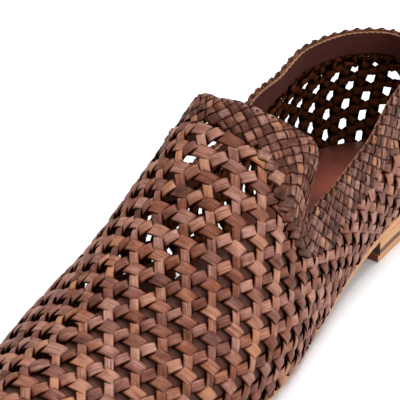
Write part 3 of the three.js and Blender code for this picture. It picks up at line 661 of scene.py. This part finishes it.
def smooth_leather(name, dark, light, grain, roughness, gloss=0.5, painted_shade_span=None):
    """Full-grain leather, dyed and smoothed: slow clouds of colour over a fine pebbled grain, in
    millimetres and drawn coarser than real, to show. It may have shade painted on, from none at one
    place along the shoe to most at another, in metres."""
    material, tree, shader = new_material(name)
    cloud_size = 16.0
    place = add_node(tree, "ShaderNodeTexCoord").outputs["Object"]
    settings = {"Scale": 1 / (cloud_size * MM), "Detail": 5, "Roughness": 0.6}
    cloud = add_node(tree, NOISE, settings, {"Vector": place})
    pebble = add_node(tree, "ShaderNodeTexVoronoi", {"Scale": 1 / (grain * MM)}, {"Vector": place})
    colour = add_node(tree, RAMP, {"stops": [(0.3, dark), (0.7, light)]}, {"Fac": cloud}).outputs[0]
    # Painted shade, from none at the first place along the shoe to most at the second
    if painted_shade_span:
        along = add_node(tree, "ShaderNodeSeparateXYZ", links={"Vector": place})
        settings = {"From Min": painted_shade_span[0], "From Max": painted_shade_span[1], "To Max": 0.75}
        forepart_painted_shade = add_node(tree, RANGE, settings, {"Value": along})
        settings = {"data_type": "RGBA", 7: hex_colour(FOREPART_SHADE_COLOUR)}
        colour = add_node(tree, MIX, settings, {0: forepart_painted_shade, 6: colour}).outputs[2]
    bump = add_node(tree, "ShaderNodeBump", {"Strength": 0.3, "Distance": 0.12 * MM}, {"Height": pebble})
    tree.links.new(colour, shader.inputs["Base Color"])
    tree.links.new(bump.outputs[0], shader.inputs["Normal"])
    shader.inputs["Roughness"].default_value = roughness
    shader.inputs["Specular IOR Level"].default_value = gloss
    return material


def cut_edge_leather(name, dark, light, roughness, dark_lift=None, shaded_breast=False):
    """Thick sole leather cut and burnished at its edge: fibres lie in fine level layers. One lift of
    the stack, between two heights in millimetres, may be darker, and shade may be painted on the heel's
    breast, the face that points to the toe."""
    material, tree, shader = new_material(name)

    # A layer's height and a fibre's length in millimetres, drawn coarser than real, to show
    layer = 0.5
    run = 14.0
    place = add_node(tree, "ShaderNodeTexCoord").outputs["Object"]
    scale = (1 / (run * MM), 1 / (run * MM), 1 / (layer * MM))
    layered = add_node(tree, MAPPING, {"Scale": scale}, {"Vector": place})
    fibre = add_node(tree, NOISE, {"Scale": 1, "Detail": 4, "Roughness": 0.6}, {"Vector": layered})
    colour = add_node(tree, RAMP, {"stops": [(0.3, dark), (0.65, light)]}, {"Fac": fibre}).outputs[0]
    # Painted shade on the breast, the faces that point to the toe
    if shaded_breast:
        faces = add_node(tree, "ShaderNodeNewGeometry").outputs["Normal"]
        forward = add_node(tree, "ShaderNodeSeparateXYZ", links={"Vector": faces})
        breast = add_node(tree, MATH, {"operation": "GREATER_THAN", 1: 0.6}, {0: forward})
        settings = {"data_type": "RGBA", "blend_type": "MULTIPLY", 7: hex_colour(BREAST_SHADE_COLOUR)}
        colour = add_node(tree, MIX, settings, {0: breast, 6: colour}).outputs[2]
    if dark_lift:
        height = add_node(tree, "ShaderNodeSeparateXYZ", links={"Vector": place}).outputs["Z"]
        middle, reach = np.mean(dark_lift), np.ptp(dark_lift) / 2
        settings = {"operation": "COMPARE", 1: middle * MM, 2: reach * MM}
        inside = add_node(tree, MATH, settings, {0: height})
        settings = {"data_type": "RGBA", "blend_type": "MULTIPLY", 7: hex_colour(DARK_LIFT_COLOUR)}
        colour = add_node(tree, MIX, settings, {0: inside, 6: colour}).outputs[2]
    bump = add_node(tree, "ShaderNodeBump", {"Strength": 0.35, "Distance": 0.2 * MM}, {"Height": fibre})
    tree.links.new(colour, shader.inputs["Base Color"])
    tree.links.new(bump.outputs[0], shader.inputs["Normal"])
    shader.inputs["Roughness"].default_value = roughness
    return material


# Warm brown leaves, some rubbed golden; their middles look paler against the shade painted along edges
# and gaps
WOVEN_LEATHER = strip_leather("oiled_strip_leather", "#3c1509", "#764330", "#ac7a65", "#aa7040")

# Narrower strips that drank more dye: deeper brown squares, outlined by shade painted along their edges
# and gaps
PLAITED_LEATHER = strip_leather("oiled_plait_leather", "#1f0a04", "#562b1e", "#9b6f5c", "#a2693a")

# Unglazed, so that it stays a flat dark ground behind the weave
LINING_LEATHER = smooth_leather("dull_lining_leather", "#4c2e26", "#5e3c31", 1.1, 0.8, 0.15)

# Smooth and dark red-brown, with a faint sheen
FACING_LEATHER = smooth_leather("smooth_facing_leather", "#46211b", "#572d26", 0.9, 0.55, 0.2)

# Red-brown with a soft sheen, with shade painted on it, darker towards the forepart under the vamp
INSOLE_LEATHER = smooth_leather(
    "smooth_insole_leather", "#4f1f12", "#793828", 0.9, 0.5, 0.25, painted_shade_span=(-0.085, -0.025)
)

# Undyed fibres at a cut edge: a matt golden line
RAW_EDGE_LEATHER = cut_edge_leather("raw_cut_leather", "#6b4327", "#93653d", 0.8)

# Natural tan, layered and lightly polished at the edge
SOLE_LEATHER = cut_edge_leather("natural_sole_leather", "#a86e41", "#c69263", 0.5)

# Tan lifts with one dark layer between them, and painted shade on the breast
LIFT_LEATHER = cut_edge_leather(
    "stacked_lift_leather", "#a97448", "#c69768", 0.5, dark_lift=(3.9, 6.1), shaded_breast=True
)

# A deeper orange tan, burnished by the heel iron, with painted shade on its breast
TREAD_LEATHER = cut_edge_leather("burnished_tread_leather", "#ad6c3c", "#cb9260", 0.5, shaded_breast=True)

# Waxed thread, a little paler than the facing
THREAD = smooth_leather("waxed_linen_thread", "#6d4a3c", "#8a6150", 0.4, 0.6)

# A pricked hole's inside, as painted shade: near-black
AWL_HOLE_SHADE = smooth_leather("awl_hole_painted_shade", "#120a07", "#1a0e0a", 0.5, 0.8)


# The woven strips

# Name, direction on the flat pattern in degrees, width, direction lain over, direction passed under
STRIP_FAMILIES = [
    ("cross_strips", 90, 5.4, 30, -30),
    ("outward_strips", 30, 3.3, -30, 90),
    ("inward_strips", -30, 3.9, 90, 30),
]
STRIP_LINES = 30
STRIP_SAMPLES = 240
LEAF_LIFT = 0.25
LEAF_ROLL = 0.6
LEAF_FLATNESS = 0.58
LEAF_REACH = 0.3

# How a strip's width changes and how it drifts aside; waves start up to so many radians in
WIDTH_CHANGE = 0.07
WIDTH_WAVE = 0.03
WIDTH_WAVE_LENGTH = 17
STRIP_DRIFT = 0.16
DRIFT_WAVE_LENGTH = 13
DRIFT_APART = 0.6
WAVE_START = 6

# Where strips end on the last, and the fewest samples of one
LOWEST_UP = -0.02
FARTHEST_ALONG = 1.004
SHORTEST_RUN = 4


def direction(degrees):
    return np.array([math.cos(math.radians(degrees)), math.sin(math.radians(degrees))])


def left_of(way):
    return np.array([-way[1], way[0]])


def crossing(way, start, other):
    """Where a strip's line first meets another family, and how that place leans across the strip."""
    other_way = direction(other)
    normal = left_of(other_way)
    first = (0.5 * COLUMN - normal @ (left_of(way) * start)) / (normal @ way)
    return first, (other_way @ way) / (other_way @ left_of(way))


def runs(keep):
    """Stretches of true values as (start, end)."""
    edges = np.flatnonzero(np.diff(np.concatenate([[0], keep.astype(int), [0]])))
    return edges.reshape(-1, 2)


def strip_height(from_over, to_under):
    """The over-and-under wave, from 1 on top of a crossing to -1 underneath the next."""
    falling = math.pi * from_over / to_under
    rising = math.pi + math.pi * (from_over - to_under) / (HOLE_SPACING - to_under)
    wave = np.cos(np.where(from_over > to_under, rising, falling)) + LEAF_REACH
    return np.clip(np.sign(wave) * np.abs(wave) ** LEAF_FLATNESS, -1, 1)


def onto_half(points):
    """Points of the weave's lattice folded onto the half pattern, and the side each lies on."""
    front = np.clip((points[:, 0] - ASIDE_FROM) / (ASIDE_TO - ASIDE_FROM), 0, 1)
    from_centre = points[:, 1] + PATTERN_ASIDE * front
    side = np.where(from_centre > -TINY, LATERAL, MEDIAL)
    return np.stack([points[:, 0], np.abs(from_centre)], 1), side


def strip_on_last(flat, place, distance):
    """Points of a strip on the last; where the pattern ends they keep the strip's own middle."""
    half, side = onto_half(flat.reshape(-1, 2))
    found = change_triangles(half, FLAT_TRIANGLES, PLACE_TRIANGLES)
    middle = np.repeat(place, flat.shape[1], axis=0)
    lost = np.isnan(found[:, 0])
    found[lost] = middle[lost]
    solid = wall_points(side, np.clip(found[:, 0], 0, 1), np.clip(found[:, 1], 0, 1), distance.ravel())
    solid[:, 2] = np.maximum(solid[:, 2], sole_top(solid[:, 0]) + FEATHER_GAP)
    return solid.reshape(flat.shape[:2] + (3,))


def weave_family(name, turn, width, over, under):
    """All strips of one direction, each over one of the other families and under the next."""
    strips = Strips()
    way = direction(turn)
    across = left_of(way)
    share = STRIP_SECTION[None, :, 0]
    for line in range(-STRIP_LINES, STRIP_LINES):
        start = (line + 0.5) * COLUMN
        over_at, over_lean = crossing(way, start, over)
        under_lean = crossing(way, start, under)[1]
        first_step = over_at - round(over_at / HOLE_SPACING) * HOLE_SPACING
        t = first_step + np.arange(-STRIP_SAMPLES, STRIP_SAMPLES) * STRIP_STEP
        width_now = 1 + WIDTH_CHANGE * chance.uniform(-1, 1)
        wave = np.sin(t / WIDTH_WAVE_LENGTH + chance.uniform(0, WAVE_START))
        width_now = width_now + WIDTH_WAVE * wave
        drift = np.sin(t / DRIFT_WAVE_LENGTH + chance.uniform(0, WAVE_START))
        drift = STRIP_DRIFT * (drift + DRIFT_APART * chance.uniform(-1, 1))
        leaf_chance = chance.uniform(size=(2 * STRIP_SAMPLES, 3))
        centre = PATTERN_START + across * start + t[:, None] * way
        half = onto_half(centre)[0]
        place = change_triangles(half, FLAT_TRIANGLES, PLACE_TRIANGLES)
        clear = border_clearance(half)
        on_shoe = np.nan_to_num(place, nan=OFF_PATTERN)
        keep = (on_shoe[:, 1] > LOWEST_UP) & (on_shoe[:, 0] < FARTHEST_ALONG) & (clear > -TUCK_LENGTH)
        for first, last in runs(keep):
            if last - first < SHORTEST_RUN:
                continue
            part = slice(first, last)
            y = share * (width / 2 * width_now[part])[:, None]
            flat = centre[part, None] + across * (y + drift[part, None])[..., None]
            from_over = np.mod(t[part, None] - over_at - over_lean * y, HOLE_SPACING)
            height = strip_height(from_over, HOLE_SPACING / 2 + (under_lean - over_lean) * y)
            leaf = np.rint((t[part] - over_at) / HOLE_SPACING).astype(int) + STRIP_SAMPLES
            tint, lift, roll = leaf_chance[leaf].T[:, :, None]
            raised = np.maximum(height, 0)
            distance = STRIP_MIDDLE + STRIP_SWING * height + STRIP_SECTION[None, :, 1] * STRIP_THICKNESS
            distance = distance + raised * ((lift - 0.5) * LEAF_LIFT + (roll - 0.5) * LEAF_ROLL * share)
            tuck = np.clip((TUCK_LENGTH / 2 - clear[part]) / TUCK_LENGTH, 0, 1)
            distance = distance - TUCK_DEPTH * tuck[:, None]
            ways = np.stack([np.broadcast_to(t[part, None], y.shape), y], -1) + line * UV_SHIFT
            facts = leaf_facts(y.shape, tint, 0.5 + 0.5 * height)
            strips.add(strip_on_last(flat, place[part], distance), ways, facts)
    finish_piece(strips.piece(name), WOVEN_LEATHER, "strip_leather", "woven_upper")


for family in STRIP_FAMILIES:
    weave_family(*family)


# The plaited collar band, in squares and, for lift, roll and fall, in millimetres

PLAIT_FOLD = 0.3
PLAIT_STEP = 0.1
PLAIT_WIDTH = 0.68
PLAIT_DEEPEST = 5.2
PLAIT_LIFT = 0.35
PLAIT_ROLL = 0.5
FOLD_TINT = 0.4
BORDER_OVERLAP = 0.15

# The rim: its depth under the top line, scallops on the tongue and round the quarters, and its roll
RIM_DEPTH = 0.04
RIM_UNEVEN = 0.05
RIM_SCALLOPS = [0.04, 0.26]
RIM_ROLL = 0.2
RIM_FALL = 0.55

# Places along the band, from 0 at the tongue's middle to 1 at the heel
TONGUE_EAR = 0.14
NOTCH = 0.52
EAR_COLUMN, NOTCH_COLUMN = np.interp([TONGUE_EAR, NOTCH], BAND_COLUMNS, np.arange(HALF_RING + 1))

# The leaves of the border twist, in squares along and rows across, and their height in millimetres
TWIST_RINGS = 9
TWIST_SPACING = 0.85
TWIST_HALF_LENGTH = 0.7
TWIST_SKEW = 0.12
TWIST_BELOW = 0.1
TWIST_RISE = 0.5
TWIST_HALF_WIDTH = 0.42
TWIST_FOOT = 0.2
TWIST_CROWN = 1.3

# An awl hole: radius, shares of it with their heights over the strip, spread in squares
AWL_RADIUS = 0.5
AWL_PROFILE = [(0.9, -0.3), (1, 0.03), (0.4, 0)]
AWL_ASIDE = 0.06
AWL_DEEPER = (-0.03, 0.07)


def band_widths():
    """The band's width at each column in millimetres."""
    steps = 20
    columns = np.repeat(np.arange(FULL_RING + 1.0), steps)
    rows = np.tile(np.linspace(0, BAND_ROWS, steps), FULL_RING + 1)
    lines = band_points(columns, rows, np.zeros(len(rows))).reshape(-1, steps, 3)
    return np.linalg.norm(np.diff(lines, axis=1), axis=2).sum(1)


BAND_WIDTHS = band_widths()


def band_row(column, depth):
    """The row of a place so many squares under the top line."""
    width = np.interp(np.mod(column, FULL_RING), np.arange(FULL_RING + 1), BAND_WIDTHS)
    return depth * BAND_SQUARE / width * BAND_ROWS


def rim_depth(column):
    """The rim's depth under the top line in squares: nearly straight on the tongue, scalloped by the
    folds round the quarters."""
    from_front = np.minimum(np.mod(column, FULL_RING), np.mod(-column, FULL_RING))
    scallop = np.interp(from_front, [NOTCH_COLUMN - 1, NOTCH_COLUMN + 1], RIM_SCALLOPS)
    return RIM_DEPTH + scallop * np.sin(math.pi * column) ** 2


def plait_strip(strips, columns, rows, height, tint, way, thickness, folded=0.0):
    """One strip on the band through its ring points' columns and rows."""
    shape = columns.shape
    distance = height + STRIP_SECTION[None, :, 1] * thickness
    solid = band_points(columns.ravel(), rows.ravel(), distance.ravel()).reshape(shape + (3,))
    across = np.broadcast_to(STRIP_SECTION[None, :, 0] * BAND_SQUARE * PLAIT_WIDTH / 2, shape)
    ways = np.stack([np.broadcast_to(way[:, None], shape), across], -1)
    level = np.clip((height - PLAIT_MIDDLE) / PLAIT_SWING * 0.5 + 0.5, 0, 1)
    strips.add(solid, ways, leaf_facts(shape, tint[:, None], level, folded))


def collar_strips(name, lean):
    """Strips that run slantwise from the rolled rim down to the border, over and under."""
    strips = Strips()
    share = STRIP_SECTION[None, :, 0]
    sway = share * PLAIT_WIDTH / 2 * math.sqrt(0.5)
    depth = np.arange(RIM_DEPTH - sway.max(), PLAIT_DEEPEST, PLAIT_STEP)
    square = np.maximum(np.rint(2 * (depth - PLAIT_FOLD)).astype(int), 0)
    folded = (square == 0).astype(float)[:, None]
    for fold in range(FULL_RING):
        column = fold - lean * (depth - PLAIT_FOLD)
        on_band = band_row(column, depth) < BAND_ROWS + BORDER_OVERLAP
        end = len(depth) if on_band.all() else np.argmin(on_band)
        part = slice(0, end)
        columns = column[part, None] + lean * sway
        rim = rim_depth(columns) + RIM_UNEVEN * chance.uniform()
        under_rim = np.maximum(depth[part, None] + sway - rim, 0)
        rows = band_row(columns, rim + under_rim)
        rolled = np.clip(1 - under_rim / RIM_ROLL, 0, 1) ** 2
        tint, lift, roll = chance.uniform(size=(3, square[-1] + 1))[:, square[part]]
        wave = lean * np.cos(2 * math.pi * (depth[part, None] - PLAIT_FOLD))
        loose = (lift[:, None] - 0.5) * PLAIT_LIFT + (roll[:, None] - 0.5) * PLAIT_ROLL * share
        loose = loose * np.maximum(wave, 0) * (1 - folded[part])
        tint = np.where(folded[part, 0] > 0, FOLD_TINT + (1 - FOLD_TINT) * tint, tint)
        height = PLAIT_MIDDLE + PLAIT_SWING * wave + loose - RIM_FALL * rolled
        way = depth[part] * BAND_SQUARE * math.sqrt(2) + fold * UV_SHIFT
        plait_strip(strips, columns, rows, height, tint, way, PLAIT_THICKNESS, folded[part])
    finish_piece(strips.piece(name), PLAITED_LEATHER, "band_leather", "collar_band")


def border_twist():
    """Long leaves laid slantwise along the band's border, from the tongue's ear to the notch."""
    strips = Strips()
    step = np.linspace(-1, 1, TWIST_RINGS)[:, None]
    share = STRIP_SECTION[None, :, 0]
    for side in (LATERAL, MEDIAL):
        for start in np.arange(EAR_COLUMN, NOTCH_COLUMN, TWIST_SPACING):
            columns = start + TWIST_HALF_LENGTH * step + TWIST_SKEW * share * side
            turn = columns if side == LATERAL else FULL_RING - columns
            rows = BAND_ROWS + TWIST_BELOW - TWIST_RISE * step + TWIST_HALF_WIDTH * share
            height = TWIST_FOOT + TWIST_CROWN * (1 - step ** 2)
            tint = np.full(len(step), chance.uniform())
            way = step[:, 0] * BAND_SQUARE + start * UV_SHIFT
            plait_strip(strips, turn, rows, height, tint, way, PLAIT_THICKNESS)
    finish_piece(strips.piece("border_twist"), PLAITED_LEATHER, "band_leather", "collar_band")


def awl_holes():
    """A hole pricked into each fold, a little under the rim, as a low disc of painted shade."""
    strips = Strips()
    turn = np.arange(len(STRIP_SECTION)) * 2 * math.pi / len(STRIP_SECTION)
    top = PLAIT_MIDDLE + PLAIT_SWING + PLAIT_THICKNESS / 2
    for fold in range(FULL_RING):
        column = fold + chance.uniform(-AWL_ASIDE, AWL_ASIDE)
        depth = PLAIT_FOLD + chance.uniform(*AWL_DEEPER)
        rings = []
        for share, above in AWL_PROFILE:
            columns = column + share * AWL_RADIUS / BAND_SQUARE * np.cos(turn)
            rows = band_row(columns, depth - share * AWL_RADIUS / BAND_SQUARE * np.sin(turn))
            rings.append(band_points(columns, rows, np.full(len(turn), top + above)))
        rings = np.stack(rings)
        strips.add(rings, np.zeros(rings.shape[:2] + (2,)), leaf_facts(rings.shape[:2], 0.5, 1.0))
    finish_piece(strips.piece("awl_holes"), AWL_HOLE_SHADE, "band_leather")


collar_strips("collar_rising_strips", 1)
collar_strips("collar_falling_strips", -1)
border_twist()
awl_holes()


# Linings, made as sheets laid onto the last

SHEET_MERGE = 0.02
SHEET_SMOOTH = math.radians(50)


def lay_sheet(name, grid, lay, thickness, material, edge):
    """A grid laid onto the shoe by a function of its two shares, then given its thickness inwards."""
    bpy.ops.object.select_all(action="DESELECT")
    bpy.ops.mesh.primitive_grid_add(x_subdivisions=grid[0], y_subdivisions=grid[1], size=1)
    sheet = bpy.context.active_object
    sheet.name = name
    share = np.zeros(len(sheet.data.vertices) * 3)
    sheet.data.vertices.foreach_get("co", share)
    share = share.reshape(-1, 3)[:, :2] + 0.5
    sheet.data.vertices.foreach_set("co", into_frame(lay(share[:, 0], share[:, 1])).ravel())
    bpy.ops.object.mode_set(mode="EDIT")
    bpy.ops.mesh.select_all(action="SELECT")
    bpy.ops.mesh.remove_doubles(threshold=SHEET_MERGE * MM)
    bpy.ops.object.mode_set(mode="OBJECT")
    finish_piece(sheet, material, "insole_leather")
    sheet.data.materials.append(edge)
    wall = sheet.modifiers.new("wall", "SOLIDIFY")
    wall.thickness = thickness * MM
    wall.offset = -1
    wall.material_offset_rim = 1
    bpy.ops.object.modifier_apply(modifier="wall")
    bpy.ops.object.shade_smooth_by_angle(angle=SHEET_SMOOTH)


# The forepart lining's upper edge: along, lateral, medial; 1 where it covers all
LINING_EDGE = [
    (0.1, 1, 1),
    (0.15, 1, 0.5),
    (0.2, 1, 0.32),
    (0.25, 0.98, 0.26),
    (0.3, 0.92, 0.22),
    (0.34, 0.8, 0.2),
    (0.4, 0.66, 0.16),
    (0.47, 0.58, 0.12),
    (0.52, 0.3, 0.08),
]
LINING_END = 0.53
LINING_DEPTH = -1.75
LINING_THICKNESS = 0.6
LINING_GRID = (120, 24)

# The collar facing: rows of the band that it covers, its distance from the last, thickness and grid
FACING_TOP = 0.35
FACING_ROWS = 2.7
FACING_DEPTH = -0.75
FACING_THICKNESS = 0.8
FACING_GRID = (FULL_RING * 3, 10)

# The facing's stitches, in squares along and down, and their height in millimetres
STITCH_RINGS = 5
STITCH_SPACING = 0.5
STITCH_HALF_LENGTH = 0.22
STITCH_DEPTH = 0.34
STITCH_HALF_WIDTH = 0.05
STITCH_SUNK = 0.1
STITCH_CROWN = 0.25
STITCH_THICKNESS = 0.4


def lay_lining(round_toe, height):
    """From the lateral quarter round the toe to the medial quarter, up to the lining's edge."""
    side = np.where(round_toe <= 0.5, LATERAL, MEDIAL)
    along = np.abs(1 - 2 * round_toe) * LINING_END
    table = np.array(LINING_EDGE)
    edge = np.where(
        side == LATERAL,
        np.interp(along, table[:, 0], table[:, 1]),
        np.interp(along, table[:, 0], table[:, 2]),
    )
    return wall_points(side, along, edge * height, np.full(len(along), LINING_DEPTH))


def lay_facing(round_collar, height):
    """A band of smooth leather inside the collar, from the top line downwards."""
    row = FACING_TOP + (FACING_ROWS - FACING_TOP) * (1 - height)
    return band_points(round_collar * FULL_RING, row, np.full(len(row), FACING_DEPTH))


def facing_stitches():
    """A row of stitches that holds the facing under its raw edge."""
    strips = Strips()
    along = np.linspace(-STITCH_HALF_LENGTH, STITCH_HALF_LENGTH, STITCH_RINGS)
    share = STRIP_SECTION[None, :, 0]
    below = FACING_DEPTH - FACING_THICKNESS
    crown = STITCH_CROWN * (1 - (along[:, None] / STITCH_HALF_LENGTH) ** 2)
    height = below + STITCH_SUNK - crown
    tint = np.full(len(along), 0.5)
    for stitch in np.arange(STITCH_SPACING / 2, FULL_RING, STITCH_SPACING):
        columns = np.broadcast_to(stitch + along[:, None], (len(along), len(STRIP_SECTION)))
        rows = band_row(columns, STITCH_DEPTH + STITCH_HALF_WIDTH * share)
        plait_strip(strips, columns, rows, height, tint, along * BAND_SQUARE, STITCH_THICKNESS)
    finish_piece(strips.piece("facing_stitches"), THREAD, "insole_leather")


lay_sheet("forepart_lining", LINING_GRID, lay_lining, LINING_THICKNESS, LINING_LEATHER, LINING_LEATHER)
lay_sheet("collar_facing", FACING_GRID, lay_facing, FACING_THICKNESS, FACING_LEATHER, RAW_EDGE_LEATHER)
facing_stitches()


# Sole, insole and heel, softened copies of the solids

PLATE_MERGE = 0.01
BEVEL_STEPS = 3
BEVEL_FROM = math.radians(40)
PLATE_SMOOTH = math.radians(35)


def soften_plate(node, name, bevel, material, slot):
    """A copy of a solid with its edges rounded."""
    bpy.ops.object.select_all(action="DESELECT")
    piece = bpy.data.objects.new(name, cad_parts[node].data.copy())
    piece.data.materials.clear()
    bpy.context.scene.collection.objects.link(piece)
    piece.select_set(True)
    bpy.context.view_layer.objects.active = piece
    bpy.ops.object.mode_set(mode="EDIT")
    bpy.ops.mesh.select_all(action="SELECT")
    bpy.ops.mesh.remove_doubles(threshold=PLATE_MERGE * MM)
    bpy.ops.mesh.tris_convert_to_quads()
    bpy.ops.object.mode_set(mode="OBJECT")
    edge = piece.modifiers.new("edge", "BEVEL")
    edge.width = bevel * MM
    edge.segments = BEVEL_STEPS
    edge.limit_method = "ANGLE"
    edge.angle_limit = BEVEL_FROM
    bpy.ops.object.modifier_apply(modifier="edge")
    bpy.ops.object.shade_smooth_by_angle(angle=PLATE_SMOOTH)
    finish_piece(piece, material, slot, node)


soften_plate("outsole", "sole_plate", 0.5, SOLE_LEATHER, "sole_leather")
soften_plate("heel_stack", "heel_lifts", 0.3, LIFT_LEATHER, "heel_leather")
soften_plate("heel_top_piece", "heel_tread", 0.4, TREAD_LEATHER, "tread_leather")
soften_plate("insole", "insole_sock", 0.4, INSOLE_LEATHER, "insole_leather")


# Floor and light, in metres

FLOOR_SIZE = 6
FLOOR_COLOUR = "#e2e4e6"
FLOOR_ROUGHNESS = 0.9
SKY_STRENGTH = 0.8

# The camera, placed in the shoe's millimetres
CAMERA_TURN = math.radians(33.67)
CAMERA_TILT = math.radians(28.1)
CAMERA_ROLL = math.radians(-1.06)
CAMERA_DISTANCE = 598.8
CAMERA_TARGET = (160.7, 6.34, 62.34)
CAMERA_LENS = 154.2
CAMERA_SENSOR = 36


def make_floor():
    """White paper, matt and even, that shows no more than a soft shadow."""
    bpy.ops.object.select_all(action="DESELECT")
    bpy.ops.mesh.primitive_plane_add(size=FLOOR_SIZE)
    floor = bpy.context.active_object
    floor.name = "studio_floor"
    material, _, shader = new_material("white_studio_paper")
    shader.inputs["Base Color"].default_value = hex_colour(FLOOR_COLOUR)
    shader.inputs["Roughness"].default_value = FLOOR_ROUGHNESS
    floor.data.materials.append(material)


def soft_light(name, place, aim, size, power):
    """A round softbox that points at a place."""
    lamp = bpy.data.lights.new(name, "AREA")
    lamp.shape = "DISK"
    lamp.size = size
    lamp.energy = power
    light = bpy.data.objects.new(name, lamp)
    light.location = place
    light.rotation_euler = (Vector(aim) - Vector(place)).to_track_quat("-Z", "Y").to_euler()
    bpy.context.scene.collection.objects.link(light)


def make_camera():
    """The photograph's angle: from in front of the toe on the lateral side, looking down."""
    target = Vector(into_frame(np.array(CAMERA_TARGET)))
    back = Vector((
        math.cos(CAMERA_TURN) * math.cos(CAMERA_TILT),
        math.sin(CAMERA_TURN) * math.cos(CAMERA_TILT),
        math.sin(CAMERA_TILT),
    ))
    level = Vector((-math.sin(CAMERA_TURN), math.cos(CAMERA_TURN), 0))
    upright = back.cross(level)
    right = level * math.cos(CAMERA_ROLL) + upright * math.sin(CAMERA_ROLL)
    up = upright * math.cos(CAMERA_ROLL) - level * math.sin(CAMERA_ROLL)
    data = bpy.data.cameras.new("camera")
    data.sensor_width = CAMERA_SENSOR
    data.lens = CAMERA_LENS
    camera = bpy.data.objects.new("camera", data)
    turned = Matrix((right, up, back)).transposed().to_4x4()
    turned.translation = target + back * (CAMERA_DISTANCE * MM)
    camera.matrix_world = turned
    bpy.context.scene.collection.objects.link(camera)
    bpy.context.scene.camera = camera


def make_sky():
    """Even white light from all round."""
    world = bpy.data.worlds.new("studio")
    world.use_nodes = True
    sky = world.node_tree.nodes["Background"]
    sky.inputs["Color"].default_value = (1, 1, 1, 1)
    sky.inputs["Strength"].default_value = SKY_STRENGTH
    bpy.context.scene.world = world


make_floor()
make_camera()
make_sky()
bpy.context.scene.view_settings.view_transform = "Standard"
soft_light("overhead_softbox", place=(-0.4, 0.05, 0.95), aim=(0, 0, 0.03), size=0.5, power=9)
soft_light("side_softbox", place=(0.15, 1.0, 0.45), aim=(-0.03, 0, 0.03), size=0.7, power=5.2)
